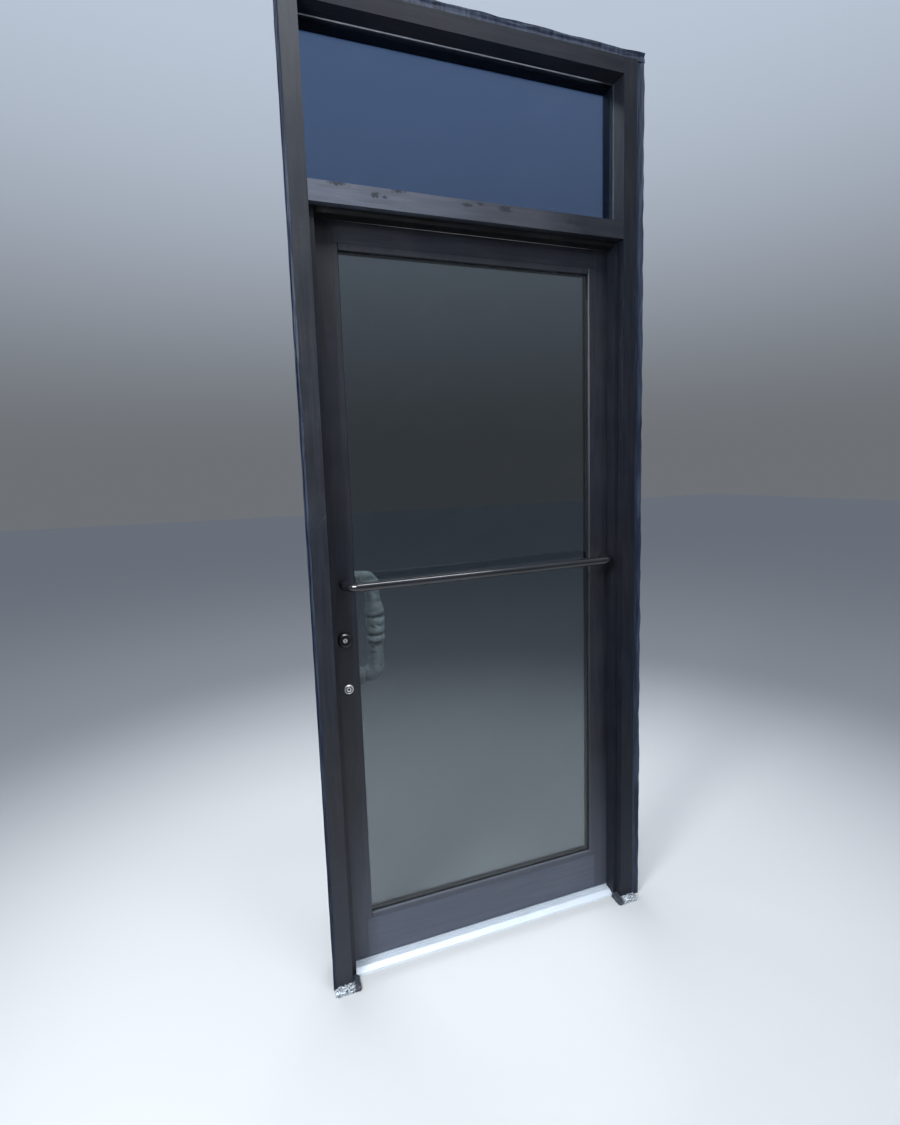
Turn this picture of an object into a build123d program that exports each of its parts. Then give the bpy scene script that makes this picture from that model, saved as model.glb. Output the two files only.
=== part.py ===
from build123d import *
import math
import os

# Glazed entrance: an aluminium frame with one inswing leaf and a fixed light above it
# X runs across the doorway, Y into the building and Z up
# The origin is on the floor, midway between the jambs and midway through the frame

# Doorway and the light above it
doorway_width = 914.4
doorway_height = 2146.3
light_height = 403.0

# Frame sections
frame_depth = 114.3
jamb_face = 44.45
head_face = 44.45
transom_face = 50.8
frame_wall = 3.2
joint_gap = 0.4
slip = 0.3

# Glazing pocket along the frame sections
pocket_front = -5.0
pocket_depth = 15.0
pocket_wall = 2.0
filler_wall = 1.8
filler_play = 0.1

# Sealed glass units
pane = 6.0
pane_gap = 13.4
spacer_width = 7.0
spacer_setback = 3.0
light_gasket = 5.0
light_bite = 10.0
block_length = 100.0
block_share = 0.25

# Screws that draw the rails of the frame to the jambs
boss_radius = 5.6
boss_slot = 2.4
screw_radius = 2.4
screw_play = 0.1
screw_head_radius = 4.8
screw_head = 3.0
screw_length = 30.0
access_radius = 7.0

# Wall anchors and threshold fixings
anchor_radius = 4.25
anchor_first = 200.0
anchor_pitch = 600.0
anchor_count = 4
fixing_radius = 2.75
fixing_head_radius = 5.5
fixing_spread = 600.0

# Door stops and their pile strips
stop_projection = 14.0
stop_depth = 39.75
stop_wall = 1.8
stop_clearance = 4.0
pile_slot = 5.0
pile_slot_depth = 2.4
pile_width = 3.4
pile_play = 0.1
pile_touch = 0.4

# Threshold
threshold_height = 12.7
threshold_edge = 5.0
threshold_front = -28.0
threshold_nose = 16.0
threshold_tail = 15.0
threshold_groove = 1.6
groove_first = 24.7
groove_pitch = 9.0
groove_count = 5
relief_depth = 3.5
relief_rib = 12.0

# Leaf sections
leaf_thickness = 44.45
leaf_setback = 0.7
leaf_side_gap = 3.2
leaf_top_gap = 3.2
leaf_floor_gap = 6.3
leaf_wall = 3.2
stile_face = 57.0
top_rail_face = 64.0
bottom_rail_face = 119.5

# Glazing beads of the leaf
bead_width = 17.0
bead_wall = 1.6
bead_recess = 0.6
bead_leg = 6.5
bead_fin = 4.0
bead_fin_wall = 1.6
bead_hook = 1.2
bead_edge = 1.8
leaf_bite = 12.0
gasket_lip = 5.0

# Corner blocks and tie rods of the leaf
corner_block = 40.0
corner_wall = 5.0
rod_radius = 4.75
nut_radius = 8.0
nut_height = 7.0

# Brush under the bottom rail
brush_width = 9.0

# Hinges
hinge_height = 114.3
hinge_plate = 2.4
hinge_proud = 1.2
hinge_leaf_width = 24.0
knuckle_count = 3
knuckle_radius = 6.0
knuckle_stand = 0.3
knuckle_gap = 0.3
pin_radius = 3.0
pin_play = 0.05
pin_head_radius = 4.6
pin_head = 3.0
hinge_low = 250.0
hinge_high = 180.0

# Push bar on the outside
bar_radius = 12.7
bar_stand = 66.0
bar_bend = 45.0
bar_height = 1170.0
bar_rise = 13.0
bar_left_inset = 40.0
bar_right_inset = 29.0

# Pull handle on the inside, on the same upper bolt, and the sleeve wrapped round it
pull_radius = 12.7
pull_stand = 52.0
pull_offset = 101.5
pull_centres = 304.8
pull_bend = 32.0
sleeve_radius = 28.0
sleeve_gap = 14.0
sleeve_sides = 12

# Bolts through the stiles that hold the bar and the pull
bolt_radius = 5.0
bolt_hole_play = 0.3
bolt_grip = 16.0
washer_radius = 14.0
washer_rim = 8.5
washer_height = 4.0
bolt_head_radius = 7.0
bolt_socket_radius = 3.4
bolt_socket_depth = 3.0

# Lock
lock_below_bar = 159.5
lock_backset = 36.0
case_thickness = 20.0
case_above = 22.0
case_below = 80.0
face_plate = 2.5
face_width = 25.0
face_height = 138.0
deadbolt_drop = 50.0
deadbolt_thickness = 12.0
deadbolt_height = 25.0
deadbolt_length = 42.0
deadbolt_throw = 25.0
deadbolt_inset = 0.4
deadbolt_play = 0.3
deadbolt_nose = 1.5
cylinder_radius = 14.3
cylinder_back = 28.0
plug_radius = 6.35
plug_play = 0.05
plug_proud = 1.2
keyway_width = 2.0
keyway_height = 8.0
keyway_depth = 14.0
collar_base_radius = 21.0
collar_rim_radius = 17.0
collar_stand = 12.0
collar_face_depth = 3.0
turn_radius = 5.0
rose_radius = 17.0
rose_height = 5.0
turn_length = 36.0
turn_width = 11.0
turn_height = 14.0

# Strike in the lock jamb
strike_plate = 1.5
strike_width = 28.0
strike_height = 90.0
strike_play = 1.2

# Sealant round the frame and at its feet
sealant_right_width = 30.0
sealant_left_width = 10.0
sealant_head_width = 26.0
sealant_depth = 12.0
sealant_inset = 1.0
sealant_dish = 1.5
foot_reach = 24.0
foot_inner = 22.0
foot_outer = 8.0
foot_height = 15.0
foot_round = 7.0

# Planes worked out from the sizes above
half_doorway = doorway_width / 2
half_frame = half_doorway + jamb_face
frame_front = -frame_depth / 2
frame_back = frame_depth / 2
transom_top = doorway_height + transom_face
head_bottom = transom_top + light_height
frame_top = head_bottom + head_face

unit_thickness = 2 * pane + pane_gap
pocket_width = 2 * light_gasket + unit_thickness
pocket_middle = pocket_front + pocket_width / 2
light_glass_front = pocket_front + light_gasket

leaf_back = frame_back - leaf_setback
leaf_front = leaf_back - leaf_thickness
leaf_middle = (leaf_front + leaf_back) / 2
half_leaf = half_doorway - leaf_side_gap
leaf_bottom = threshold_height + leaf_floor_gap
leaf_top = doorway_height - leaf_top_gap
glass_half = half_leaf - stile_face
glass_low = leaf_bottom + bottom_rail_face
glass_high = leaf_top - top_rail_face
leaf_glass_front = leaf_middle - unit_thickness / 2
edge_gap = bead_width - leaf_bite

stop_back = leaf_front - stop_clearance
stop_front = stop_back - stop_depth
half_clear = half_doorway - stop_projection

hinge_x = half_doorway - leaf_side_gap / 2
hinge_y = frame_back + knuckle_stand + knuckle_radius
hinge_bottoms = [
    leaf_bottom + hinge_low - hinge_height / 2,
    (leaf_bottom + leaf_top - hinge_height) / 2,
    leaf_top - hinge_high - hinge_height / 2,
]

bar_y = leaf_front - bar_stand
bar_left_x = -(half_leaf - bar_left_inset)
bar_right_x = half_leaf - bar_right_inset
bar_right_z = bar_height + bar_rise
pull_y = leaf_back + pull_stand
pull_low_z = bar_height - pull_centres
grip_x = bar_left_x + pull_offset
lock_x = -(half_leaf - lock_backset)
lock_z = bar_height - lock_below_bar
deadbolt_z = lock_z - deadbolt_drop


# A box between two corners
def box(x0, x1, y0, y1, z0, z1):
    middle = Pos((x0 + x1) / 2, (y0 + y1) / 2, (z0 + z1) / 2)
    return middle * Box(abs(x1 - x0), abs(y1 - y0), abs(z1 - z0))


# A flat rectangle between two corners, in section coordinates
def rectangle(u0, u1, v0, v1):
    return Pos((u0 + u1) / 2, (v0 + v1) / 2) * Rectangle(abs(u1 - u0), abs(v1 - v0))


# A round bar along Y
def rod_y(x, z, radius, y0, y1):
    return extrude(Plane((x, y0, z), x_dir=(1, 0, 0), z_dir=(0, 1, 0)) * Circle(radius), amount=y1 - y0)


# A round bar along X
def rod_x(y, z, radius, x0, x1):
    return extrude(Plane((x0, y, z), x_dir=(0, 1, 0), z_dir=(1, 0, 0)) * Circle(radius), amount=x1 - x0)


# Section planes of the members: u runs from the opening into the member, v runs along Y
def upright_right(inner_x, z):
    return Plane((inner_x, 0, z), x_dir=(1, 0, 0), z_dir=(0, 0, 1))


def member_above(start_x, z):
    return Plane((start_x, 0, z), x_dir=(0, 0, 1), z_dir=(-1, 0, 0))


def member_below(start_x, z):
    return Plane((start_x, 0, z), x_dir=(0, 0, -1), z_dir=(1, 0, 0))


# Frame sections

# Hollow section with a glazing pocket in the face towards the opening
def frame_section(face):
    tube = rectangle(0, face, frame_front, frame_back)
    tube -= rectangle(frame_wall, face - frame_wall, frame_front + frame_wall, frame_back - frame_wall)
    lining = rectangle(
        0,
        pocket_depth + pocket_wall,
        pocket_front - pocket_wall,
        pocket_front + pocket_width + pocket_wall,
    )
    mouth = rectangle(0, pocket_depth, pocket_front, pocket_front + pocket_width)
    return tube + lining - mouth


# Where the screw bosses sit in a member, as distances along v
def boss_places():
    reach = frame_wall + screw_head_radius + slip
    return [frame_front + reach, frame_back - reach]


# Section of a member between the jambs, with a slotted boss in each outer corner
def rail_section(face):
    section = frame_section(face)
    for v in boss_places():
        towards = 1 if v < 0 else -1
        boss = Pos(face / 2, v) * Circle(boss_radius)
        slot = rectangle(
            face / 2 - boss_slot / 2,
            face / 2 + boss_slot / 2,
            v,
            v + towards * 2 * boss_radius,
        )
        section += boss
        section -= Pos(face / 2, v) * Circle(screw_radius + screw_play)
        section -= slot
    return section


# Heights at which the two members meet the jambs
def member_heights():
    return [doorway_height + transom_face / 2, head_bottom + head_face / 2]


def anchor_y():
    return (stop_front + pocket_front - pocket_wall) / 2


def right_jamb():
    jamb = extrude(upright_right(half_doorway, 0) * frame_section(jamb_face), amount=frame_top)
    for z in member_heights():
        for y in boss_places():
            jamb -= rod_x(y, z, screw_radius + screw_play, half_doorway - 1, half_doorway + jamb_face / 2)
            jamb -= rod_x(y, z, access_radius, half_doorway + jamb_face / 2, half_frame + 1)
    for n in range(anchor_count):
        z = anchor_first + n * anchor_pitch
        jamb -= rod_x(anchor_y(), z, anchor_radius, half_doorway + jamb_face / 2, half_frame + 1)
        jamb -= rod_x(anchor_y(), z, access_radius, half_doorway - 1, half_doorway + jamb_face / 2)
    return jamb


def make_jambs():
    plain = right_jamb()
    hinge_jamb = plain
    for z in hinge_bottoms:
        hinge_jamb -= box(
            half_doorway - 1,
            half_doorway + hinge_plate - hinge_proud,
            frame_back - hinge_leaf_width,
            frame_back + 1,
            z,
            z + hinge_height,
        )
    lock_jamb = mirror(plain, about=Plane.YZ)
    for cut in strike_cuts():
        lock_jamb -= cut
    return lock_jamb, hinge_jamb


# Room for the strike and the deadbolt in the lock jamb and in the filler
def strike_cuts():
    seat = box(
        -half_doorway - strike_plate,
        -half_doorway + 1,
        leaf_middle - strike_width / 2,
        leaf_middle + strike_width / 2,
        deadbolt_z - strike_height / 2,
        deadbolt_z + strike_height / 2,
    )
    return [seat, strike_hole(deadbolt_throw)]


# Hole that the deadbolt enters, to a depth behind the jamb's face
def strike_hole(depth):
    return box(
        -half_doorway - depth - strike_play,
        -half_doorway + strike_play,
        leaf_middle - deadbolt_thickness / 2 - strike_play,
        leaf_middle + deadbolt_thickness / 2 + strike_play,
        deadbolt_z - deadbolt_height / 2 - strike_play,
        deadbolt_z + deadbolt_height / 2 + strike_play,
    )


def make_strike():
    plate = box(
        -half_doorway - strike_plate,
        -half_doorway,
        leaf_middle - strike_width / 2 + pile_play,
        leaf_middle + strike_width / 2 - pile_play,
        deadbolt_z - strike_height / 2 + pile_play,
        deadbolt_z + strike_height / 2 - pile_play,
    )
    return plate - strike_hole(strike_plate)


# Channel that closes the pocket of a jamb beside the leaf
def make_fillers():
    low = pocket_front + filler_play
    high = pocket_front + pocket_width - filler_play
    section = rectangle(0, pocket_depth, low, high)
    section -= rectangle(filler_wall, pocket_depth, low + filler_wall, high - filler_wall)
    right = extrude(upright_right(half_doorway, 0) * section, amount=doorway_height)
    left = mirror(right, about=Plane.YZ)
    for cut in strike_cuts():
        left -= cut
    return [left, right]


def make_head():
    plane = member_above(half_doorway - joint_gap, head_bottom)
    return extrude(plane * rail_section(head_face), amount=doorway_width - 2 * joint_gap)


def make_transom():
    plane = member_below(-half_doorway + joint_gap, transom_top)
    return extrude(plane * rail_section(transom_face), amount=doorway_width - 2 * joint_gap)


# Hexagon head screws from the jambs into the bosses
def make_joint_screws():
    screws = []
    seat = half_doorway + frame_wall
    for side in (-1, 1):
        for z in member_heights():
            for y in boss_places():
                plane = Plane((side * seat, y, z), x_dir=(0, 1, 0), z_dir=(side, 0, 0))
                head = extrude(plane * RegularPolygon(screw_head_radius, 6), amount=screw_head)
                shank = rod_x(y, z, screw_radius, side * (seat - screw_length), side * seat)
                screws.append(head + shank)
    return screws


# Hollow door stop with a slot for its pile strip in the side towards the leaf
def stop_section():
    section = rectangle(-stop_projection, 0, stop_front, stop_back)
    thick = pile_slot_depth + stop_wall
    section -= rectangle(-stop_projection + stop_wall, -stop_wall, stop_front + stop_wall, stop_back - thick)
    centre = -stop_projection / 2
    section -= rectangle(
        centre - pile_slot / 2,
        centre + pile_slot / 2,
        stop_back - pile_slot_depth,
        stop_back,
    )
    return section


def pile_section():
    centre = -stop_projection / 2
    base = rectangle(
        centre - pile_slot / 2 + pile_play,
        centre + pile_slot / 2 - pile_play,
        stop_back - pile_slot_depth,
        stop_back,
    )
    bristles = rectangle(
        centre - pile_width / 2,
        centre + pile_width / 2,
        stop_back,
        leaf_front - pile_touch,
    )
    return base + bristles


def make_stops():
    right = extrude(upright_right(half_doorway, 0) * stop_section(), amount=doorway_height)
    left = mirror(right, about=Plane.YZ)
    plane = member_above(half_clear - joint_gap, doorway_height)
    head = extrude(plane * stop_section(), amount=2 * (half_clear - joint_gap))
    return left, right, head


def make_piles():
    start = threshold_height + slip
    right = extrude(upright_right(half_doorway, start) * pile_section(), amount=leaf_top - start)
    left = mirror(right, about=Plane.YZ)
    plane = member_above(half_clear - joint_gap, doorway_height)
    head = extrude(plane * pile_section(), amount=2 * (half_clear - joint_gap))
    return [left, right, head]


# Threshold

# Ribbed bar with a sloped nose, between the stops in front and the jambs behind
def make_threshold():
    outline = Polyline(
        (threshold_front, 0),
        (threshold_front, threshold_edge),
        (threshold_front + threshold_nose, threshold_height),
        (frame_back - threshold_tail, threshold_height),
        (frame_back, threshold_edge),
        (frame_back, 0),
        close=True,
    )
    section = make_face(outline)
    for n in range(groove_count):
        y = threshold_front + groove_first + n * groove_pitch
        section -= rectangle(
            y - threshold_groove / 2,
            y + threshold_groove / 2,
            threshold_height - threshold_groove,
            threshold_height,
        )
    edge = threshold_nose / 3
    section -= rectangle(threshold_front + edge, -relief_rib / 2, 0, relief_depth)
    section -= rectangle(relief_rib / 2, frame_back - threshold_tail, 0, relief_depth)
    reach = half_doorway - slip
    plane = Plane((-reach, 0, 0), x_dir=(0, 1, 0), z_dir=(1, 0, 0))
    bar = extrude(plane * section, amount=2 * reach)
    for side in (-1, 1):
        bar -= box(
            side * (half_clear - slip),
            side * (half_doorway + 1),
            threshold_front - 1,
            stop_back + slip,
            -1,
            threshold_height + 1,
        )
        bar -= fixing_hole(side * fixing_spread / 2)
    return bar


def fixing_y():
    return threshold_front + groove_first + (groove_count - 0.5) * groove_pitch


def fixing_hole(x):
    hole = Pos(x, fixing_y(), threshold_height / 2) * Cylinder(fixing_radius, threshold_height + 2)
    flare = fixing_head_radius - fixing_radius
    sink = Pos(x, fixing_y(), threshold_height - flare / 2) * Cone(fixing_radius, fixing_head_radius, flare)
    return hole + sink


# Glass units

# Four straight strips round a rectangle in the XZ plane
def strips(half_x, z0, z1, width, y0, y1, centre_x=0):
    left = box(centre_x - half_x, centre_x - half_x + width, y0, y1, z0, z1)
    right = box(centre_x + half_x - width, centre_x + half_x, y0, y1, z0, z1)
    low = box(centre_x - half_x + width, centre_x + half_x - width, y0, y1, z0, z0 + width)
    high = box(centre_x - half_x + width, centre_x + half_x - width, y0, y1, z1 - width, z1)
    return [left, right, low, high]


# Two panes and the spacer between them
def glass_unit(half_x, z0, z1, front):
    outer = box(-half_x, half_x, front, front + pane, z0, z1)
    inner = box(-half_x, half_x, front + pane + pane_gap, front + unit_thickness, z0, z1)
    set_in = spacer_setback
    spacer = strips(
        half_x - set_in,
        z0 + set_in,
        z1 - set_in,
        spacer_width,
        front + pane,
        front + pane + pane_gap,
    )
    return outer, inner, spacer


def setting_blocks(half_x, z0, height, front):
    blocks = []
    for side in (-1, 1):
        x = side * half_x * 2 * block_share
        blocks.append(
            box(x - block_length / 2, x + block_length / 2, front, front + unit_thickness, z0 - height, z0)
        )
    return blocks


def make_light():
    half_x = half_doorway + light_bite
    z0 = transom_top - light_bite
    z1 = head_bottom + light_bite
    outer, inner, spacer = glass_unit(half_x, z0, z1, light_glass_front)
    blocks = setting_blocks(half_x, z0, pocket_depth - light_bite, light_glass_front)
    front_gasket = strips(half_x, z0, z1, light_bite, pocket_front, light_glass_front)
    back = light_glass_front + unit_thickness
    back_gasket = strips(half_x, z0, z1, light_bite, back, back + light_gasket)
    return outer, inner, spacer, blocks, front_gasket, back_gasket


# Leaf sections

# Tube with a fin on each side for the glazing beads
def leaf_section(face):
    section = rectangle(0, face, leaf_front, leaf_back)
    section -= rectangle(leaf_wall, face - leaf_wall, leaf_front + leaf_wall, leaf_back - leaf_wall)
    for y, towards in ((leaf_front, 1), (leaf_back, -1)):
        start = y + towards * (bead_recess + bead_wall + bead_hook)
        section += rectangle(-bead_fin, 0, start, start + towards * bead_fin_wall)
    return section


# Snap-in bead: a face, a bevelled return towards the glass and a hooked leg behind the fin
def bead_section(face_y, towards):
    front = face_y + towards * bead_recess
    rear = front + towards * bead_leg
    face = rectangle(-bead_width, -slip, front, front + towards * bead_wall)
    edge_return = rectangle(-bead_width, -bead_width + bead_wall, front, rear)
    leg_u = -bead_fin - slip
    leg = rectangle(leg_u - bead_wall, leg_u, front, rear)
    hook_v = face_y + towards * (bead_recess + bead_wall + bead_hook + bead_fin_wall + slip)
    hook = rectangle(leg_u, leg_u + bead_hook, hook_v, rear)
    section = face + edge_return + leg + hook
    corners = section.vertices().filter_by_position(Axis.Y, front - 0.01, front + 0.01)
    return chamfer(corners.sort_by(Axis.X)[0], length=bead_edge)


# Round hole through the front or back wall of a stile
def wall_hole(x, z, face_y, radius):
    return rod_y(x, z, radius, face_y - leaf_wall - 1, face_y + leaf_wall + 1)


def make_stiles():
    plane = upright_right(glass_half, leaf_bottom)
    right = extrude(plane * leaf_section(stile_face), amount=leaf_top - leaf_bottom)
    fins = glass_half - bead_fin - 1
    right -= box(fins, glass_half, leaf_front, leaf_back, leaf_bottom, glass_low)
    right -= box(fins, glass_half, leaf_front, leaf_back, glass_high, leaf_top)
    for z in rod_heights():
        right -= rod_x(leaf_middle, z, rod_radius + slip, glass_half - 1, half_leaf - leaf_wall - 1)
        right -= rod_x(leaf_middle, z, nut_radius + slip, half_leaf - leaf_wall - 1, half_leaf + 1)
    left = mirror(right, about=Plane.YZ)
    for z in hinge_bottoms:
        right -= box(
            half_leaf - hinge_plate + hinge_proud,
            half_leaf + 1,
            frame_back - hinge_leaf_width,
            leaf_back + 1,
            z,
            z + hinge_height,
        )
    for y in (leaf_front, leaf_back):
        right -= wall_hole(bar_right_x, bar_right_z, y, bolt_radius + bolt_hole_play)
        left -= wall_hole(bar_left_x, bar_height, y, bolt_radius + bolt_hole_play)
        left -= wall_hole(bar_left_x, pull_low_z, y, bolt_radius + bolt_hole_play)
    left -= wall_hole(lock_x, lock_z, leaf_front, cylinder_radius + slip)
    left -= wall_hole(lock_x, lock_z, leaf_back, turn_radius + slip)
    left -= face_opening()
    return left, right


def make_rails():
    length = 2 * (glass_half - joint_gap)
    low_plane = member_below(-glass_half + joint_gap, glass_low)
    high_plane = member_above(glass_half - joint_gap, glass_high)
    low = extrude(low_plane * leaf_section(bottom_rail_face), amount=length)
    high = extrude(high_plane * leaf_section(top_rail_face), amount=length)
    notch = glass_half - bead_width - slip
    for x in (-glass_half, glass_half):
        ends = box(x, math.copysign(notch, x), leaf_front, leaf_back, glass_low, glass_high)
        low -= ends
        high -= ends
    return low, high


# Beads on one side of the leaf: two long uprights with two short ones between them
def make_beads(face_y, towards):
    section = bead_section(face_y, towards)
    plane = upright_right(glass_half, glass_low + slip)
    right = extrude(plane * section, amount=glass_high - glass_low - 2 * slip)
    left = mirror(right, about=Plane.YZ)
    span = glass_half - bead_width - slip
    low = extrude(member_below(-span, glass_low) * section, amount=2 * span)
    high = extrude(member_above(span, glass_high) * section, amount=2 * span)
    return [left, right, low, high]


def make_leaf_glass():
    half_x = glass_half - edge_gap
    z0 = glass_low + edge_gap
    z1 = glass_high - edge_gap
    outer, inner, spacer = glass_unit(half_x, z0, z1, leaf_glass_front)
    blocks = setting_blocks(half_x, z0, edge_gap, leaf_glass_front)
    return outer, inner, spacer, blocks


# Gasket between the beads and the glass on one side
def make_leaf_gasket(y0, y1):
    half_x = glass_half - bead_width + gasket_lip
    z0 = glass_low + bead_width - gasket_lip
    z1 = glass_high - bead_width + gasket_lip
    return strips(half_x, z0, z1, gasket_lip, y0, y1)


def rod_heights():
    return [leaf_bottom + bottom_rail_face / 2, leaf_top - top_rail_face / 2]


# Tube lengths that key the rails to the stiles
def make_corner_blocks():
    blocks = []
    play = leaf_wall + slip
    for z0, z1 in ((leaf_bottom, glass_low), (glass_high, leaf_top)):
        for side in (-1, 1):
            x0 = side * (glass_half - corner_block)
            x1 = side * glass_half
            block = box(x0, x1, leaf_front + play, leaf_back - play, z0 + play, z1 - play)
            hollow = play + corner_wall
            block -= box(x0, x1, leaf_front + hollow, leaf_back - hollow, z0 + hollow, z1 - hollow)
            blocks.append(block)
    return blocks


# Threaded rod through each rail, with a nut in each stile
def make_tie_rods():
    rods = []
    seat = glass_half + leaf_wall
    for z in rod_heights():
        rod = rod_x(leaf_middle, z, rod_radius, -seat - nut_height, seat + nut_height)
        for side in (-1, 1):
            plane = Plane((side * seat, leaf_middle, z), x_dir=(0, 1, 0), z_dir=(side, 0, 0))
            rod += extrude(plane * RegularPolygon(nut_radius, 6), amount=nut_height)
        rods.append(rod)
    return rods


def make_brush():
    return box(
        -half_leaf + leaf_side_gap,
        half_leaf - leaf_side_gap,
        leaf_middle - brush_width / 2,
        leaf_middle + brush_width / 2,
        threshold_height + slip,
        leaf_bottom,
    )


# Hinges

# Start and end of one knuckle above the hinge's bottom
def knuckle_span(n):
    pitch = hinge_height / knuckle_count
    return n * pitch + knuckle_gap / 2, (n + 1) * pitch - knuckle_gap / 2


# One leaf of a hinge with its own knuckles
def hinge_leaf(x0, x1, plate_end, knuckles):
    leaf = box(x0, x1, frame_back - hinge_leaf_width + slip, plate_end, slip, hinge_height - slip)
    for n in knuckles:
        z0, z1 = knuckle_span(n)
        leaf += box(x0, x1, plate_end - 1, hinge_y, z0, z1)
        leaf += Pos(hinge_x, hinge_y, (z0 + z1) / 2) * Cylinder(knuckle_radius, z1 - z0)
    leaf -= Pos(hinge_x, hinge_y, hinge_height / 2) * Cylinder(pin_radius + pin_play, hinge_height + 2)
    return leaf


def hinge_pin():
    pin = Pos(hinge_x, hinge_y, hinge_height / 2) * Cylinder(pin_radius, hinge_height)
    for z in (-pin_head / 2, hinge_height + pin_head / 2):
        pin += Pos(hinge_x, hinge_y, z) * Cylinder(pin_head_radius, pin_head)
    return pin


def make_hinges():
    proud_frame = half_doorway - hinge_proud
    proud_leaf = half_leaf + hinge_proud
    ends = knuckle_radius + knuckle_stand
    frame_end = hinge_y - ends - slip / 2
    door_end = leaf_back - slip / 2
    frame_leaf = hinge_leaf(proud_frame, proud_frame + hinge_plate, frame_end, range(0, knuckle_count, 2))
    door_leaf = hinge_leaf(proud_leaf - hinge_plate, proud_leaf, door_end, range(1, knuckle_count, 2))
    pin = hinge_pin()
    frame_leaves = [Pos(0, 0, z) * frame_leaf for z in hinge_bottoms]
    door_leaves = [Pos(0, 0, z) * door_leaf for z in hinge_bottoms]
    pins = [Pos(0, 0, z) * pin for z in hinge_bottoms]
    return frame_leaves, door_leaves, pins


# Handles

# Solid of one section along a bent path
def swept(path, sketch):
    return sweep(Plane(origin=path @ 0, z_dir=path % 0) * sketch, path=path)


# Bore in the end of a handle for its bolt
def end_bore(x, z, face_y, towards):
    return rod_y(x, z, bolt_radius + bolt_hole_play, face_y, face_y + towards * (bolt_grip + bolt_hole_play))


def make_push_bar():
    path = FilletPolyline(
        (bar_left_x, leaf_front, bar_height),
        (bar_left_x, bar_y, bar_height),
        (bar_right_x, bar_y, bar_right_z),
        (bar_right_x, leaf_front, bar_right_z),
        radius=bar_bend,
    )
    bar = swept(path, Circle(bar_radius))
    bar -= end_bore(bar_left_x, bar_height, leaf_front, -1)
    return bar - end_bore(bar_right_x, bar_right_z, leaf_front, -1)


# Line of the pull handle between its two feet, from a plane over the leaf's back
def pull_path(start_y):
    return FilletPolyline(
        (bar_left_x, start_y, bar_height),
        (bar_left_x, pull_y, bar_height),
        (grip_x, pull_y, bar_height),
        (grip_x, pull_y, pull_low_z),
        (bar_left_x, pull_y, pull_low_z),
        (bar_left_x, start_y, pull_low_z),
        radius=pull_bend,
    )


def make_pull():
    pull = swept(pull_path(leaf_back), Circle(pull_radius))
    pull -= end_bore(bar_left_x, bar_height, leaf_back, 1)
    return pull - end_bore(bar_left_x, pull_low_z, leaf_back, 1)


# Soft sleeve round the whole handle but its feet
def make_sleeve():
    path = pull_path(leaf_back + sleeve_gap)
    outside = swept(path, RegularPolygon(sleeve_radius, sleeve_sides))
    inside = swept(path, RegularPolygon(pull_radius + slip, sleeve_sides, major_radius=False))
    return outside - inside


# Bolt from the bar through the lock stile into the pull
def shared_bolt():
    return rod_y(bar_left_x, bar_height, bolt_radius, leaf_front - bolt_grip, leaf_back + bolt_grip)


# Bolt from a dished washer on one face through the stile into a handle on the other
def headed_bolt(x, z, head_y, far_y):
    towards = math.copysign(1, far_y - head_y)
    top_y = head_y - towards * washer_height
    bolt = rod_y(x, z, bolt_radius, head_y - towards, far_y + towards * bolt_grip)
    cone = Plane((x, top_y, z), x_dir=(1, 0, 0), z_dir=(0, towards, 0))
    bolt += loft([cone * Circle(bolt_head_radius), cone.offset(washer_height) * Circle(bolt_radius)])
    bolt -= extrude(cone * RegularPolygon(bolt_socket_radius, 6), amount=bolt_socket_depth)
    return bolt


def dished_washer(x, z, head_y, far_y):
    towards = math.copysign(1, far_y - head_y)
    plane = Plane((x, head_y, z), x_dir=(1, 0, 0), z_dir=(0, -towards, 0))
    washer = loft([plane * Circle(washer_radius), plane.offset(washer_height) * Circle(washer_rim)])
    inner = bolt_head_radius + bolt_hole_play
    seat = loft([plane * Circle(bolt_radius + bolt_hole_play), plane.offset(washer_height) * Circle(inner)])
    return washer - seat


def make_bolts():
    lower = (bar_left_x, pull_low_z, leaf_front, leaf_back)
    right = (bar_right_x, bar_right_z, leaf_back, leaf_front)
    bolts = [shared_bolt(), headed_bolt(*lower), headed_bolt(*right)]
    washers = [dished_washer(*lower), dished_washer(*right)]
    return bolts, washers


# Lock

# Height of the middle of the lock's face plate
def face_middle():
    return lock_z + (case_above - case_below) / 2


def face_opening():
    z = face_middle()
    return box(
        -half_leaf - 1,
        -half_leaf + leaf_wall + 1,
        leaf_middle - face_width / 2 - slip,
        leaf_middle + face_width / 2 + slip,
        z - face_height / 2 - slip,
        z + face_height / 2 + slip,
    )


# Space that the deadbolt slides in
def deadbolt_room():
    return box(
        -half_leaf - 1,
        -half_leaf + deadbolt_inset + deadbolt_length + deadbolt_play,
        leaf_middle - deadbolt_thickness / 2 - deadbolt_play,
        leaf_middle + deadbolt_thickness / 2 + deadbolt_play,
        deadbolt_z - deadbolt_height / 2 - deadbolt_play,
        deadbolt_z + deadbolt_height / 2 + deadbolt_play,
    )


def make_lock_face():
    z = face_middle()
    plate = box(
        -half_leaf,
        -half_leaf + face_plate,
        leaf_middle - face_width / 2,
        leaf_middle + face_width / 2,
        z - face_height / 2,
        z + face_height / 2,
    )
    return plate - deadbolt_room()


def make_lock_case():
    case = box(
        -half_leaf + face_plate,
        -glass_half - leaf_wall - slip,
        leaf_middle - case_thickness / 2,
        leaf_middle + case_thickness / 2,
        lock_z - case_below,
        lock_z + case_above,
    )
    case -= deadbolt_room()
    front = leaf_middle - case_thickness / 2 - 1
    return case - rod_y(lock_x, lock_z, cylinder_radius + slip, front, leaf_front + cylinder_back + slip)


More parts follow.
